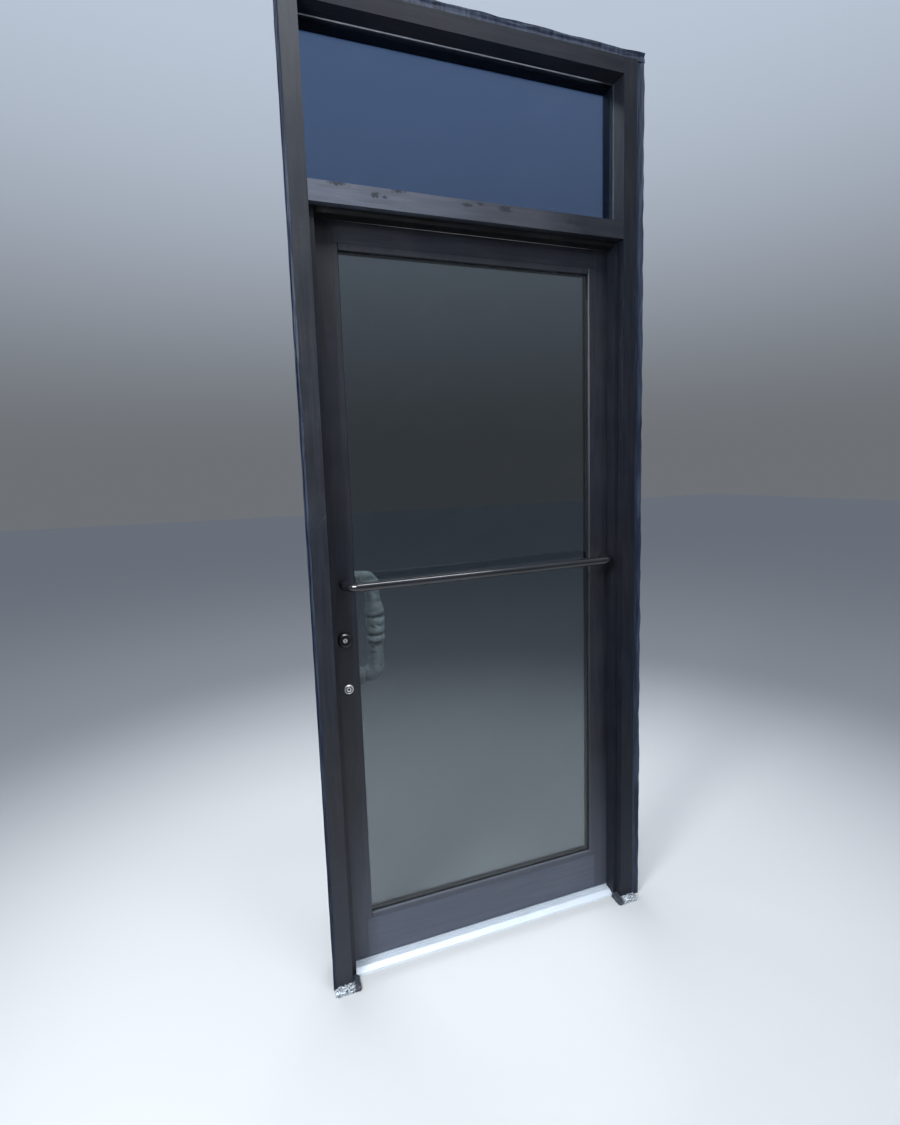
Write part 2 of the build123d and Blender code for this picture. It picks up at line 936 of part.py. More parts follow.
def make_deadbolt():
    bolt = box(
        -half_leaf + deadbolt_inset,
        -half_leaf + deadbolt_inset + deadbolt_length,
        leaf_middle - deadbolt_thickness / 2,
        leaf_middle + deadbolt_thickness / 2,
        deadbolt_z - deadbolt_height / 2,
        deadbolt_z + deadbolt_height / 2,
    )
    nose = bolt.edges().filter_by(Axis.Y).group_by(Axis.X)[0]
    return chamfer(nose, length=deadbolt_nose)


# Key cylinder, its plug and the tapered collar round it
def make_cylinder():
    front = leaf_front - collar_stand + collar_face_depth
    back = leaf_front + cylinder_back
    body = rod_y(lock_x, lock_z, cylinder_radius, front, back)
    body -= rod_y(lock_x, lock_z, plug_radius + plug_play, front - 1, back + 1)
    plug_front = front - plug_proud
    plug = rod_y(lock_x, lock_z, plug_radius, plug_front, back - 1)
    plug -= box(
        lock_x - keyway_width / 2,
        lock_x + keyway_width / 2,
        plug_front - 1,
        plug_front + keyway_depth,
        lock_z - keyway_height / 2,
        lock_z + keyway_height / 2,
    )
    plane = Plane((lock_x, leaf_front, lock_z), x_dir=(1, 0, 0), z_dir=(0, -1, 0))
    rim_plane = plane.offset(collar_stand)
    collar = loft([plane * Circle(collar_base_radius), rim_plane * Circle(collar_rim_radius)])
    collar -= rod_y(lock_x, lock_z, cylinder_radius + slip, leaf_front - collar_stand - 1, leaf_front + 1)
    return body, plug, collar


def make_turn():
    bore = turn_radius + plug_play
    rose = rod_y(lock_x, lock_z, rose_radius, leaf_back, leaf_back + rose_height)
    rose -= rod_y(lock_x, lock_z, bore, leaf_back - 1, leaf_back + rose_height + 1)
    base = leaf_back + rose_height + slip
    shaft_end = leaf_middle + case_thickness / 2 + slip
    turn = rod_y(lock_x, lock_z, turn_radius, shaft_end, base)
    plane = Plane((lock_x, base, lock_z), x_dir=(0, 0, 1), z_dir=(0, 1, 0))
    turn += extrude(plane * SlotOverall(turn_length, turn_width), amount=turn_height)
    return rose, turn


# Sealant

# Bead of sealant beside the frame, with a dished face
def sealant_section(width):
    front = frame_front + sealant_inset
    rear = front + sealant_depth
    outline = Polyline((0, front), (0, rear), (width, rear), (width, front))
    dish = ThreePointArc((width, front), (width / 2, front + sealant_dish), (0, front))
    return make_face(outline.edges() + dish.edges())


def make_sealant():
    plane = upright_right(half_frame, 0)
    right = extrude(plane * sealant_section(sealant_right_width), amount=frame_top)
    left = mirror(extrude(plane * sealant_section(sealant_left_width), amount=frame_top), about=Plane.YZ)
    x0 = half_frame + sealant_right_width
    length = 2 * half_frame + sealant_right_width + sealant_left_width
    head = extrude(member_above(x0, frame_top) * sealant_section(sealant_head_width), amount=length)
    return left, right, head


# Sealant heaped round the foot of a jamb
def make_foot():
    front = frame_front - foot_reach
    inside = half_doorway - foot_inner
    outside = half_frame + foot_outer
    rear = stop_front - slip
    outline = Polyline(
        (half_doorway, frame_front),
        (half_doorway, rear),
        (inside, rear),
        (inside, front),
        (outside, front),
        (outside, frame_front),
        close=True,
    )
    heap = extrude(make_face(outline), amount=foot_height)
    corners = heap.edges().filter_by(Axis.Z).filter_by_position(Axis.Y, front - 1, front + 1)
    heap = fillet(corners, radius=foot_round)
    rims = heap.edges().group_by(Axis.Z)[-1].filter_by_position(Axis.Y, front - 1, rear - 1)
    outer_rims = [edge for edge in rims if not touches_jamb(edge)]
    return chamfer(outer_rims, length=foot_round)


# Whether an edge of the heap lies against the jamb
def touches_jamb(edge):
    middle = edge @ 0.5
    beside = abs(middle.X - half_doorway) < 1
    before = abs(middle.Y - frame_front) < 1
    return beside or before


def make_feet():
    right = make_foot()
    return mirror(right, about=Plane.YZ), right


# Every node and its solids
def make_nodes():
    nodes = {}
    nodes["jamb_left"], nodes["jamb_right"] = make_jambs()
    nodes["jamb_fillers"] = make_fillers()
    nodes["head"] = make_head()
    nodes["transom_bar"] = make_transom()
    nodes["joint_screws"] = make_joint_screws()
    nodes["stop_left"], nodes["stop_right"], nodes["stop_head"] = make_stops()
    nodes["pile_strips"] = make_piles()
    nodes["threshold"] = make_threshold()
    nodes["strike"] = make_strike()

    light = make_light()
    nodes["light_pane_outer"] = light[0]
    nodes["light_pane_inner"] = light[1]
    nodes["light_spacer"] = light[2]
    nodes["light_blocks"] = light[3]
    nodes["light_gasket_outer"] = light[4]
    nodes["light_gasket_inner"] = light[5]

    nodes["sealant_left"], nodes["sealant_right"], nodes["sealant_head"] = make_sealant()
    nodes["foot_left"], nodes["foot_right"] = make_feet()

    nodes["stile_lock"], nodes["stile_hinge"] = make_stiles()
    nodes["rail_bottom"], nodes["rail_top"] = make_rails()
    nodes["corner_blocks"] = make_corner_blocks()
    nodes["tie_rods"] = make_tie_rods()
    nodes["beads_outer"] = make_beads(leaf_front, 1)
    nodes["beads_inner"] = make_beads(leaf_back, -1)

    leaf_glass = make_leaf_glass()
    nodes["leaf_pane_outer"] = leaf_glass[0]
    nodes["leaf_pane_inner"] = leaf_glass[1]
    nodes["leaf_spacer"] = leaf_glass[2]
    nodes["leaf_blocks"] = leaf_glass[3]
    bead_rear = bead_recess + bead_leg
    nodes["leaf_gasket_outer"] = make_leaf_gasket(leaf_front + bead_rear, leaf_glass_front)
    glass_back = leaf_glass_front + unit_thickness
    nodes["leaf_gasket_inner"] = make_leaf_gasket(glass_back, leaf_back - bead_rear)
    nodes["brush"] = make_brush()

    nodes["hinge_frame_leaves"], nodes["hinge_door_leaves"], nodes["hinge_pins"] = make_hinges()

    nodes["push_bar"] = make_push_bar()
    nodes["pull_handle"] = make_pull()
    nodes["pull_sleeve"] = make_sleeve()
    nodes["handle_bolts"], nodes["bolt_washers"] = make_bolts()

    nodes["lock_case"] = make_lock_case()
    nodes["lock_face"] = make_lock_face()
    nodes["deadbolt"] = make_deadbolt()
    nodes["key_cylinder"], nodes["key_plug"], nodes["cylinder_collar"] = make_cylinder()
    nodes["turn_rose"], nodes["thumb_turn"] = make_turn()
    return nodes


# One solid, or several in one compound
def joined(shape):
    if isinstance(shape, list):
        solids = [solid for item in shape for solid in item.solids()]
        return Compound(children=solids)
    solids = shape.solids()
    return solids[0] if len(solids) == 1 else Compound(children=list(solids))


os.makedirs("parts", exist_ok=True)
for name, shape in make_nodes().items():
    export_step(joined(shape), f"parts/{name}.step")
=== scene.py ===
import math

import bmesh
import bpy
import numpy as np
from mathutils import Matrix, Vector, noise
from mathutils.kdtree import KDTree


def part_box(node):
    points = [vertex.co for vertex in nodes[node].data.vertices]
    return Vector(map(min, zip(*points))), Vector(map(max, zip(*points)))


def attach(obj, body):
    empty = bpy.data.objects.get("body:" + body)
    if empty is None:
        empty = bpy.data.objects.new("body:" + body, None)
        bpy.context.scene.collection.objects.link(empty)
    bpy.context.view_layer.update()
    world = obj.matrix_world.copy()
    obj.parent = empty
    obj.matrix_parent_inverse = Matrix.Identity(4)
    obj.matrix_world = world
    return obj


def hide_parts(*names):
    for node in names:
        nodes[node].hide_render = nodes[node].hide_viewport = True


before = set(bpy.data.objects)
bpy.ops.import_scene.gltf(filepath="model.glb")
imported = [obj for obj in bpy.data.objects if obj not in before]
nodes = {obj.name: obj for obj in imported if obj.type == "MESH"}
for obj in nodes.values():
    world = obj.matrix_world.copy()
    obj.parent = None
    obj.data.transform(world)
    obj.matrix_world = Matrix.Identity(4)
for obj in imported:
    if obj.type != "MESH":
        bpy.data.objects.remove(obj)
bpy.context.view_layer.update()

# Camera

PICTURE_HEIGHT = 1125
CAMERA_PLACE = (-0.634053, -1.595218, 1.478197)
CAMERA_PITCH = -0.12093
CAMERA_ROLL = 0.02955
CAMERA_YAW = -0.34233
FOCAL_PIXELS = 577.594
CENTRE_RIGHT_PIXELS = 10.847
CENTRE_UP_PIXELS = 22.449


def make_camera():
    data = bpy.data.cameras.new("camera")
    data.sensor_fit = "VERTICAL"
    data.sensor_height = 36
    data.lens = FOCAL_PIXELS * data.sensor_height / PICTURE_HEIGHT
    data.shift_x = -CENTRE_RIGHT_PIXELS / PICTURE_HEIGHT
    data.shift_y = -CENTRE_UP_PIXELS / PICTURE_HEIGHT
    data.clip_start = 0.05
    turn = Matrix.Rotation(CAMERA_YAW, 3, "Z") @ Matrix.Rotation(CAMERA_PITCH, 3, "X")
    turn = turn @ Matrix.Rotation(CAMERA_ROLL, 3, "Y")
    face = Matrix.Rotation(math.radians(90), 3, "X")
    camera = bpy.data.objects.new("camera", data)
    camera.matrix_world = Matrix.Translation(CAMERA_PLACE) @ (turn @ face).to_4x4()
    bpy.context.scene.collection.objects.link(camera)
    bpy.context.scene.camera = camera


make_camera()

# Hand tools

MERGE_DISTANCE = 0.00001


def edit():
    bpy.ops.object.mode_set(mode="EDIT")


def leave():
    bpy.ops.object.mode_set(mode="OBJECT")


def start_clean():
    if bpy.context.object and bpy.context.object.mode != "OBJECT":
        leave()
    bpy.ops.object.select_all(action="DESELECT")


def take(piece):
    start_clean()
    piece.select_set(True)
    bpy.context.view_layer.objects.active = piece


def named(name):
    piece = bpy.context.object
    piece.name = name
    piece.data.name = name
    return piece


def pick_all():
    bpy.ops.mesh.select_all(action="SELECT")


def pick(kind, test):
    bpy.ops.mesh.select_mode(type=kind)
    bpy.ops.mesh.select_all(action="DESELECT")
    shape = bmesh.from_edit_mesh(bpy.context.object.data)
    parts = {"EDGE": shape.edges, "FACE": shape.faces}[kind]
    for part in parts:
        if test(part):
            part.select_set(True)
    shape.select_flush_mode()
    bmesh.update_edit_mesh(bpy.context.object.data)


def extrude(step):
    bpy.ops.mesh.extrude_region_move(TRANSFORM_OT_translate={"value": tuple(step)})


def settle(piece):
    take(piece)
    bpy.ops.object.transform_apply(location=True, rotation=True, scale=True)
    edit()
    pick_all()
    bpy.ops.mesh.remove_doubles(threshold=MERGE_DISTANCE)
    bpy.ops.mesh.normals_make_consistent(inside=False)
    leave()
    return piece


def join_as(name, pieces):
    take(pieces[0])
    for piece in pieces[1:]:
        piece.select_set(True)
    bpy.ops.object.join()
    return named(name)


def apply_modifier(piece, modifier):
    take(piece)
    bpy.ops.object.modifier_apply(modifier=modifier.name)


def modify(piece, kind, **settings):
    modifier = piece.modifiers.new(kind, kind)
    for key, value in settings.items():
        setattr(modifier, key, value)
    apply_modifier(piece, modifier)


def round_edges(piece, width, segments=2, degrees=30):
    angle = math.radians(degrees)
    modify(piece, "BEVEL", width=width, segments=segments, limit_method="ANGLE", angle_limit=angle)


def block(name, low, high):
    start_clean()
    bpy.ops.mesh.primitive_cube_add(size=1, location=(low + high) / 2)
    piece = named(name)
    piece.scale = high - low
    return settle(piece)


# Piece of round section along straight runs and bends, through the corners given
def bent_rod(name, corners, bend, radius, sides, bend_steps, run_step=1.0, closed=True):
    ways = [(b - a).normalized() for a, b in zip(corners, corners[1:])]
    facing = ways[0].to_track_quat("Z", "Y").to_euler()
    start_clean()
    bpy.ops.mesh.primitive_circle_add(
        vertices=sides, radius=radius, fill_type="NOTHING", location=corners[0], rotation=facing,
    )
    piece = named(name)
    edit()
    bpy.ops.mesh.select_mode(type="VERT")
    pick_all()
    for n, way in enumerate(ways):
        run = (corners[n + 1] - corners[n]).length
        run -= (bend if n > 0 else 0) + (bend if n < len(ways) - 1 else 0)
        steps = max(1, round(run / run_step))
        for _ in range(steps):
            extrude(way * run / steps)
        if n < len(ways) - 1:
            onward = ways[n + 1]
            centre = corners[n + 1] - way * bend + onward * bend
            quarter = -math.radians(90)
            bpy.ops.mesh.spin(steps=bend_steps, angle=quarter, center=centre, axis=way.cross(onward))
    if closed:
        pick_all()
        bpy.ops.mesh.remove_doubles(threshold=MERGE_DISTANCE)
        pick("EDGE", lambda e: e.is_boundary)
        bpy.ops.mesh.fill_holes(sides=0)
    leave()
    return settle(piece)


# Piece turned round an axis: each step gives a radius and a distance along the way
def turned(name, centre, way, steps, sides=48):
    centre, way = Vector(centre), Vector(way)
    facing = way.to_track_quat("Z", "Y").to_euler()
    radius, reach = steps[0]
    start_clean()
    bpy.ops.mesh.primitive_circle_add(
        vertices=sides, radius=radius, fill_type="NGON", location=centre + way * reach, rotation=facing,
    )
    piece = named(name)
    edit()
    pick_all()
    for next_radius, next_reach in steps[1:]:
        extrude(way * (next_reach - reach))
        if next_radius != radius:
            share = next_radius / radius
            pivot = tuple(centre + way * next_reach)
            bpy.ops.transform.resize(value=(share, share, share), center_override=pivot)
        radius, reach = next_radius, next_reach
    leave()
    return settle(piece)


# Shader nodes


# Nodes of one tree: an input is a constant, a colour without its alpha, or another node's output
class Wires:
    def __init__(self, tree, place):
        self.tree = tree
        self.place = place

    def put(self, value, socket):
        if isinstance(value, tuple) and socket.type == "RGBA":
            socket.default_value = (*value, 1)
        elif isinstance(value, (int, float, tuple)):
            socket.default_value = value
        else:
            self.tree.links.new(value, socket)

    def node(self, kind, inputs, **settings):
        made = self.tree.nodes.new(kind)
        for key, value in settings.items():
            setattr(made, key, value)
        for key, value in inputs.items():
            self.put(value, made.inputs[key])
        return made.outputs

    def maths(self, operation, *values, clamp=False):
        inputs = dict(enumerate(values))
        return self.node("ShaderNodeMath", inputs, operation=operation, use_clamp=clamp)[0]

    def times(self, a, b, clamp=False):
        return self.maths("MULTIPLY", a, b, clamp=clamp)

    def plus(self, a, b, clamp=False):
        return self.maths("ADD", a, b, clamp=clamp)

    def most(self, a, b, clamp=False):
        return self.maths("MAXIMUM", a, b, clamp=clamp)

    def vectors(self, operation, *values):
        return self.node("ShaderNodeVectorMath", dict(enumerate(values)), operation=operation)

    def blend(self, share, a, b):
        return self.node("ShaderNodeMix", {0: share, 6: a, 7: b}, data_type="RGBA")[2]

    def mapped(self, **values):
        return self.node("ShaderNodeMapping", {"Vector": self.place, **values})[0]

    def noise(self, scale, detail=4.0, stretch=(1, 1, 1), roughness=0.55, place=None):
        stretched = self.node("ShaderNodeMapping", {"Vector": place or self.place, "Scale": stretch})[0]
        inputs = {"Vector": stretched, "Scale": scale, "Detail": detail, "Roughness": roughness}
        return self.node("ShaderNodeTexNoise", inputs)["Fac"]

    def step(self, value, low, high):
        inputs = {"Value": value, "From Min": low, "From Max": high}
        return self.node("ShaderNodeMapRange", inputs, interpolation_type="SMOOTHSTEP")["Result"]

    def axis(self, letter, vector=None):
        return self.node("ShaderNodeSeparateXYZ", {"Vector": vector or self.place})[letter]


# Group with a place and the inputs given, which puts out plain values
def new_group(name, outputs, inputs):
    group = bpy.data.node_groups.new(name, "ShaderNodeTree")
    for label, value in {"Place": (0, 0, 0), **inputs}.items():
        kind = "NodeSocketVector" if isinstance(value, tuple) else "NodeSocketFloat"
        group.interface.new_socket(name=label, in_out="INPUT", socket_type=kind).default_value = value
    for label in outputs:
        group.interface.new_socket(name=label, in_out="OUTPUT", socket_type="NodeSocketFloat")
    given = group.nodes.new("NodeGroupInput").outputs
    results = group.nodes.new("NodeGroupOutput").inputs
    return Wires(group, given["Place"]), given, results


# Soft uneven patches with a fine grain over them, thicker on faces that look up
def make_dust_group():
    made, given, results = new_group("settled_dust", ["Mask"], {"Amount": 0.3})
    patches = made.step(made.noise(6.0, 6.0), 0.42, 0.72)
    specks = made.step(made.noise(900.0, 2.0), 0.35, 0.75)
    facing = made.node("ShaderNodeNewGeometry", {})["Normal"]
    lying = made.step(made.axis("Z", facing), 0.3, 0.9)
    spread = made.plus(patches, lying)
    made.put(made.times(made.times(spread, specks), given["Amount"], clamp=True), results["Mask"])
    return made.tree


# Thin long scratches in two directions, gathered in patches
def make_scuff_group():
    made, given, results = new_group("scuff_marks", ["Mask"], {"Scale": 40.0, "Amount": 0.4, "Spread": 0.0})
    slanted = made.mapped(Rotation=(0.0, 0.9, 0.0))
    crossed = made.mapped(Rotation=(0.0, -0.6, 0.0))
    first = made.step(made.noise(given["Scale"], 5.0, (0.35, 1, 9), place=slanted), 0.66, 0.74)
    second = made.step(made.noise(given["Scale"], 5.0, (0.3, 1, 8), place=crossed), 0.68, 0.76)
    patches = made.step(made.noise(5.0, 3.0), 0.5, 0.68)
    where = made.most(patches, given["Spread"])
    lines = made.most(first, second)
    made.put(made.times(made.times(lines, where), given["Amount"], clamp=True), results["Mask"])
    return made.tree


# Fine lines along one direction, as drawn or rolled metal has
def make_drawn_group():
    made, given, results = new_group("drawn_lines", ["Height"], {"Scale": 300.0})
    fine = made.noise(given["Scale"], 3.0)
    wide = made.noise(made.times(given["Scale"], 0.22), 2.0)
    made.put(made.plus(made.times(fine, 0.6), made.times(wide, 0.4)), results["Height"])
    return made.tree


# Small even bumps of a sprayed coat
def make_coat_group():
    made, given, results = new_group("sprayed_coat", ["Height", "Tone"], {})
    made.put(made.noise(700.0, 2.0, roughness=0.4), results["Height"])
    made.put(made.step(made.noise(2.2, 3.0), 0.3, 0.7), results["Tone"])
    return made.tree


# One near the centre of an oval place of the half size given, fading out to its edge
def make_window_group():
    inputs = {"Centre": (0, 0, 0), "Half": (1, 1, 1), "Ragged": 0.0}
    made, given, results = new_group("marked_place", ["Mask"], inputs)
    away = made.vectors("SUBTRACT", made.place, given["Centre"])[0]
    share = made.vectors("DIVIDE", away, given["Half"])[0]
    reach = made.vectors("LENGTH", share)["Value"]
    torn = made.times(made.maths("SUBTRACT", made.noise(140.0), 0.5), given["Ragged"])
    made.put(made.step(made.plus(reach, made.times(torn, 2.5)), 1.0, 0.4), results["Mask"])
    return made.tree


dust_group = make_dust_group()
scuff_group = make_scuff_group()
drawn_group = make_drawn_group()
coat_group = make_coat_group()
window_group = make_window_group()

# Finishes


class Finish(Wires):
    def __init__(self, name):
        self.material = bpy.data.materials.new(name)
        self.material.use_nodes = True
        tree = self.material.node_tree
        super().__init__(tree, tree.nodes.new("ShaderNodeTexCoord").outputs["Object"])
        self.shader = tree.nodes["Principled BSDF"]

    def use(self, group, place=None, **values):
        return self.node("ShaderNodeGroup", {"Place": place or self.place, **values}, node_tree=group)

    def spot(self, centre, half, ragged=0.0):
        return self.use(window_group, Centre=centre, Half=half, Ragged=ragged)["Mask"]

    def set(self, **values):
        for key, value in values.items():
            self.put(value, self.shader.inputs[key.replace("_", " ")])

    def bump(self, height, distance, strength=1.0):
        inputs = {"Height": height, "Distance": distance, "Strength": strength}
        self.set(Normal=self.node("ShaderNodeBump", inputs)["Normal"])


BASE_DARK = (0.0066, 0.0086, 0.0150)
WARM_DARK = (0.0088, 0.0096, 0.0130)
# Grey of wiped films, also used for the painted floor reflection and the painted sunlight on the coats
FILM_AND_SHEEN_GREY = (0.108, 0.120, 0.158)
DUST_GREY = (0.30, 0.30, 0.30)
SCUFF_GREY = (0.26, 0.28, 0.31)
EDGE_GREY = (0.46, 0.44, 0.41)
# Near black for painted deep shade
SHADE_BLACK = (0.0062, 0.0058, 0.0056)
BLACK = (0.0050, 0.0052, 0.0064)
BLACK_WARM = (0.0066, 0.0066, 0.0076)
# Heights of the lighter bottom of the coats, which is partly dust and partly a painted reflection of the
# floor
FLOOR_DUST_AND_SHEEN_TOP = 0.62
FLOOR_DUST_AND_SHEEN_FULL = 0.03
FILM_EVERYWHERE = 0.06
SCRATCH_SCALE = 170.0
DRIP_STRENGTH = 0.85
COAT_BUMP = 0.00006


# Dark coating: its tone, wiped streaks along the piece, a lighter bottom that is partly dust from the floor
# and partly painted reflection of the floor, films that are partly dust and partly painted sunlight, scuffs
# and dark drips.
# Films and scratched places have a centre, a half size and a strength, drips and pale edges the first two.
def dark_coat(
    name, roughness, dust, scuffs, along, low_dust_and_floor_sheen=0.0, films_and_sunlight=(), scratched=(), drips=(), pale_edges=(),
    base=BASE_DARK, warm=WARM_DARK, shine=0.5,
):
    made = Finish(name)
    coat = made.use(coat_group)
    settled = made.use(dust_group, Amount=dust)["Mask"]
    streaks = made.step(made.noise(130.0, stretch=along), 0.3, 0.75)
    film_and_sheen = made.times(streaks, FILM_EVERYWHERE)
    # Lighter towards the floor: partly settled dust and partly a painted reflection of the bright floor
    if low_dust_and_floor_sheen:
        rise = made.step(made.axis("Z"), FLOOR_DUST_AND_SHEEN_TOP, FLOOR_DUST_AND_SHEEN_FULL)
        uneven = made.plus(0.84, made.times(streaks, 0.16))
        film_and_sheen = made.most(film_and_sheen, made.times(made.times(rise, uneven), low_dust_and_floor_sheen))
    # Films, each partly a dusty film and partly painted sunlight on the coat
    for centre, half, strength in films_and_sunlight:
        uneven = made.plus(0.68, made.times(streaks, 0.32))
        film_and_sheen = made.most(film_and_sheen, made.times(made.times(made.spot(centre, half), uneven), strength))
    marks = made.use(scuff_group, Amount=scuffs)["Mask"]
    for centre, half, strength in scratched:
        fine = made.use(scuff_group, Amount=strength, Scale=SCRATCH_SCALE, Spread=1.0)["Mask"]
        marks = made.most(marks, made.times(made.spot(centre, half), fine), clamp=True)
    colour = made.blend(coat["Tone"], base, warm)
    colour = made.blend(film_and_sheen, colour, FILM_AND_SHEEN_GREY)
    colour = made.blend(settled, colour, DUST_GREY)
    colour = made.blend(marks, colour, SCUFF_GREY)
    for centre, half in drips:
        colour = made.blend(made.times(made.spot(centre, half, 1.0), DRIP_STRENGTH), colour, base)
    for centre, half in pale_edges:
        colour = made.blend(made.spot(centre, half), colour, EDGE_GREY)
    worn = made.most(made.most(settled, marks), film_and_sheen)
    rough = made.plus(roughness, made.times(worn, 0.3), clamp=True)
    made.set(Base_Color=colour, Roughness=rough, Specular_IOR_Level=shine)
    made.bump(coat["Height"], COAT_BUMP, 0.6)
    return made.material


def metal(name, colour, darker, roughness, direction, scale, dust=0.05, stain=0.25):
    made = Finish(name)
    lines = made.use(drawn_group, made.mapped(Scale=direction), Scale=scale)["Height"]
    settled = made.use(dust_group, Amount=dust)["Mask"]
    blotches = made.times(made.step(made.noise(22.0, 5.0), 0.45, 0.75), stain)
    tone = made.blend(blotches, colour, darker)
    tone = made.blend(settled, tone, (0.45, 0.44, 0.42))
    rough = made.plus(roughness, made.times(lines, 0.16))
    rough = made.plus(rough, made.times(blotches, 0.3), clamp=True)
    made.set(Base_Color=tone, Metallic=0.85, Roughness=rough)
    made.bump(lines, 0.00004)
    return made.material


# Tinted glass with faint wiped smears
def tinted_glass(name, colour, smeared):
    made = Finish(name)
    wiped = made.mapped(Rotation=(0.0, 0.5, 0.0))
    smears = made.step(made.noise(9.0, 5.0, (0.5, 1, 2.5), place=wiped), 0.52, 0.8)
    made.set(Base_Color=made.blend(smears, colour, smeared), Roughness=0.0, IOR=1.5)
    made.set(Transmission_Weight=1.0, Specular_IOR_Level=0.3)
    return made.material


# Rubber, which turns to another colour near its right end where one is given: painted shade there
def rubber(name, colour, lighter, roughness, right=None):
    made = Finish(name)
    tone = made.noise(30.0)
    mixed = made.blend(made.step(tone, 0.4, 0.75), colour, lighter)
    if right:
        # Darker right end: painted shade
        mixed = made.blend(made.step(made.axis("X"), 0.38, 0.43), mixed, right)
    made.set(Base_Color=mixed, Roughness=made.plus(roughness, made.times(tone, 0.2), clamp=True))
    made.bump(made.noise(1400.0, 2.0), 0.00008, 0.7)
    return made.material


UPRIGHT = (1, 1, 0.06)
LYING = (0.06, 1, 1)
BAR_FACE = -0.057
DRIP_DEPTH = 0.02
# Drips on the transom bar: x and z of the middle, then half the width and half the height
DRIPS = [
    (-0.385, 2.194, 0.030, 0.007), (-0.229, 2.195, 0.022, 0.006), (-0.290, 2.178, 0.013, 0.010),
    (-0.264, 2.176, 0.009, 0.006), (-0.040, 2.184, 0.020, 0.007), (0.000, 2.190, 0.012, 0.006),
    (0.072, 2.186, 0.024, 0.011), (0.276, 2.176, 0.016, 0.008), (0.301, 2.173, 0.014, 0.014),
    (0.325, 2.182, 0.008, 0.013),
]

jamb_coat = dark_coat("dark_coat_on_jambs", 0.42, 0.07, 0.16, UPRIGHT, low_dust_and_floor_sheen=0.12, shine=0.38)
# The right jamb's coat is a duller copy of the jambs' coat with less dust: painted shade
shaded_right_jamb_coat = dark_coat("dark_coat_on_right_jamb", 0.46, 0.03, 0.16, UPRIGHT, low_dust_and_floor_sheen=0.12, shine=0.13)
# The head's coat, darker and duller than the jambs' coat: painted shade, as under a lintel
shaded_head_coat = dark_coat("dark_coat_on_head", 0.46, 0.03, 0.12, LYING, shine=0.12)
# The head stop's coat is near black: painted shade
shaded_head_stop_coat = dark_coat(
    "dark_coat_on_head_stop", 0.5, 0.04, 0.12, LYING, base=SHADE_BLACK, warm=SHADE_BLACK, shine=0.12,
    pale_edges=[((0.02, 0.0075, 2.1323), (0.50, 0.0042, 0.0060))],
)
transom_coat = dark_coat(
    "dark_coat_on_transom_bar", 0.42, 0.14, 0.25, LYING, shine=0.35,
    # Lighter patches on the transom bar's left and middle: partly dust, partly painted sunlight
    films_and_sunlight=[
        ((-0.44, BAR_FACE, 2.172), (0.66, 0.03, 0.09), 0.66),
        ((-0.05, BAR_FACE, 2.172), (0.40, 0.03, 0.09), 0.34),
    ],
    drips=[((x, BAR_FACE, z), (wide, DRIP_DEPTH, tall)) for x, z, wide, tall in DRIPS],
)
stile_coat = dark_coat("dark_coat_on_stiles", 0.44, 0.07, 0.14, UPRIGHT, low_dust_and_floor_sheen=0.55)
rail_coat = dark_coat(
    "dark_coat_on_rails", 0.44, 0.06, 0.14, LYING, low_dust_and_floor_sheen=0.84, shine=0.36,
    scratched=[((-0.400, 0.012, 0.085), (0.055, 0.03, 0.050), 0.9)],
)
hinge_coat = dark_coat("dark_coat_on_hinges", 0.4, 0.05, 0.15, UPRIGHT)


def black_coat(name, roughness, dust, scuffs, shine):
    return dark_coat(name, roughness, dust, scuffs, LYING, base=BLACK, warm=BLACK_WARM, shine=shine)


black_gloss = black_coat("black_gloss", 0.12, 0.01, 0.03, 0.8)
collar_gloss = black_coat("black_satin_on_collar", 0.21, 0.02, 0.03, 0.9)
cylinder_black = black_coat("black_satin_on_cylinder", 0.4, 0.02, 0.03, 0.3)
# Near black for the painted shade in the bolts' hollows
painted_hollow_shade = black_coat("painted_shade_in_hollows", 0.8, 0.1, 0.0, 0.1)

GROOVE_TOP = 0.0124
GROOVE_BOTTOM = 0.0116
FLAT_FRONT = -0.0115
FLAT_BACK = -0.0105


# Worn mill finish that the light meets softly, darker in the grooves of its flat, with a bluish white that is
# a painted reflection of the sky
def make_threshold_metal():
    made = Finish("mill_aluminium_threshold")
    lines = made.use(drawn_group, made.mapped(Scale=(0.03, 1, 1)), Scale=900.0)["Height"]
    settled = made.use(dust_group, Amount=0.16)["Mask"]
    stains = made.step(made.noise(26.0, 6.0, (0.5, 1, 1)), 0.5, 0.78)
    sunk = made.step(made.times(made.axis("Z"), -1.0), -GROOVE_TOP, -GROOVE_BOTTOM)
    flat = made.step(made.axis("Y"), FLAT_FRONT, FLAT_BACK)
    # The bluish white of the metal is a painted reflection of the sky
    tone = made.blend(made.times(stains, 0.35), (0.80, 0.87, 0.95), (0.60, 0.64, 0.68))
    tone = made.blend(settled, tone, (0.50, 0.49, 0.46))
    tone = made.blend(made.times(made.times(sunk, flat), 0.25), tone, (0.25, 0.27, 0.29))
    made.set(Base_Color=tone, Metallic=0.35, Roughness=made.plus(0.42, made.times(lines, 0.2)))
    made.bump(lines, 0.00005)
    return made.material


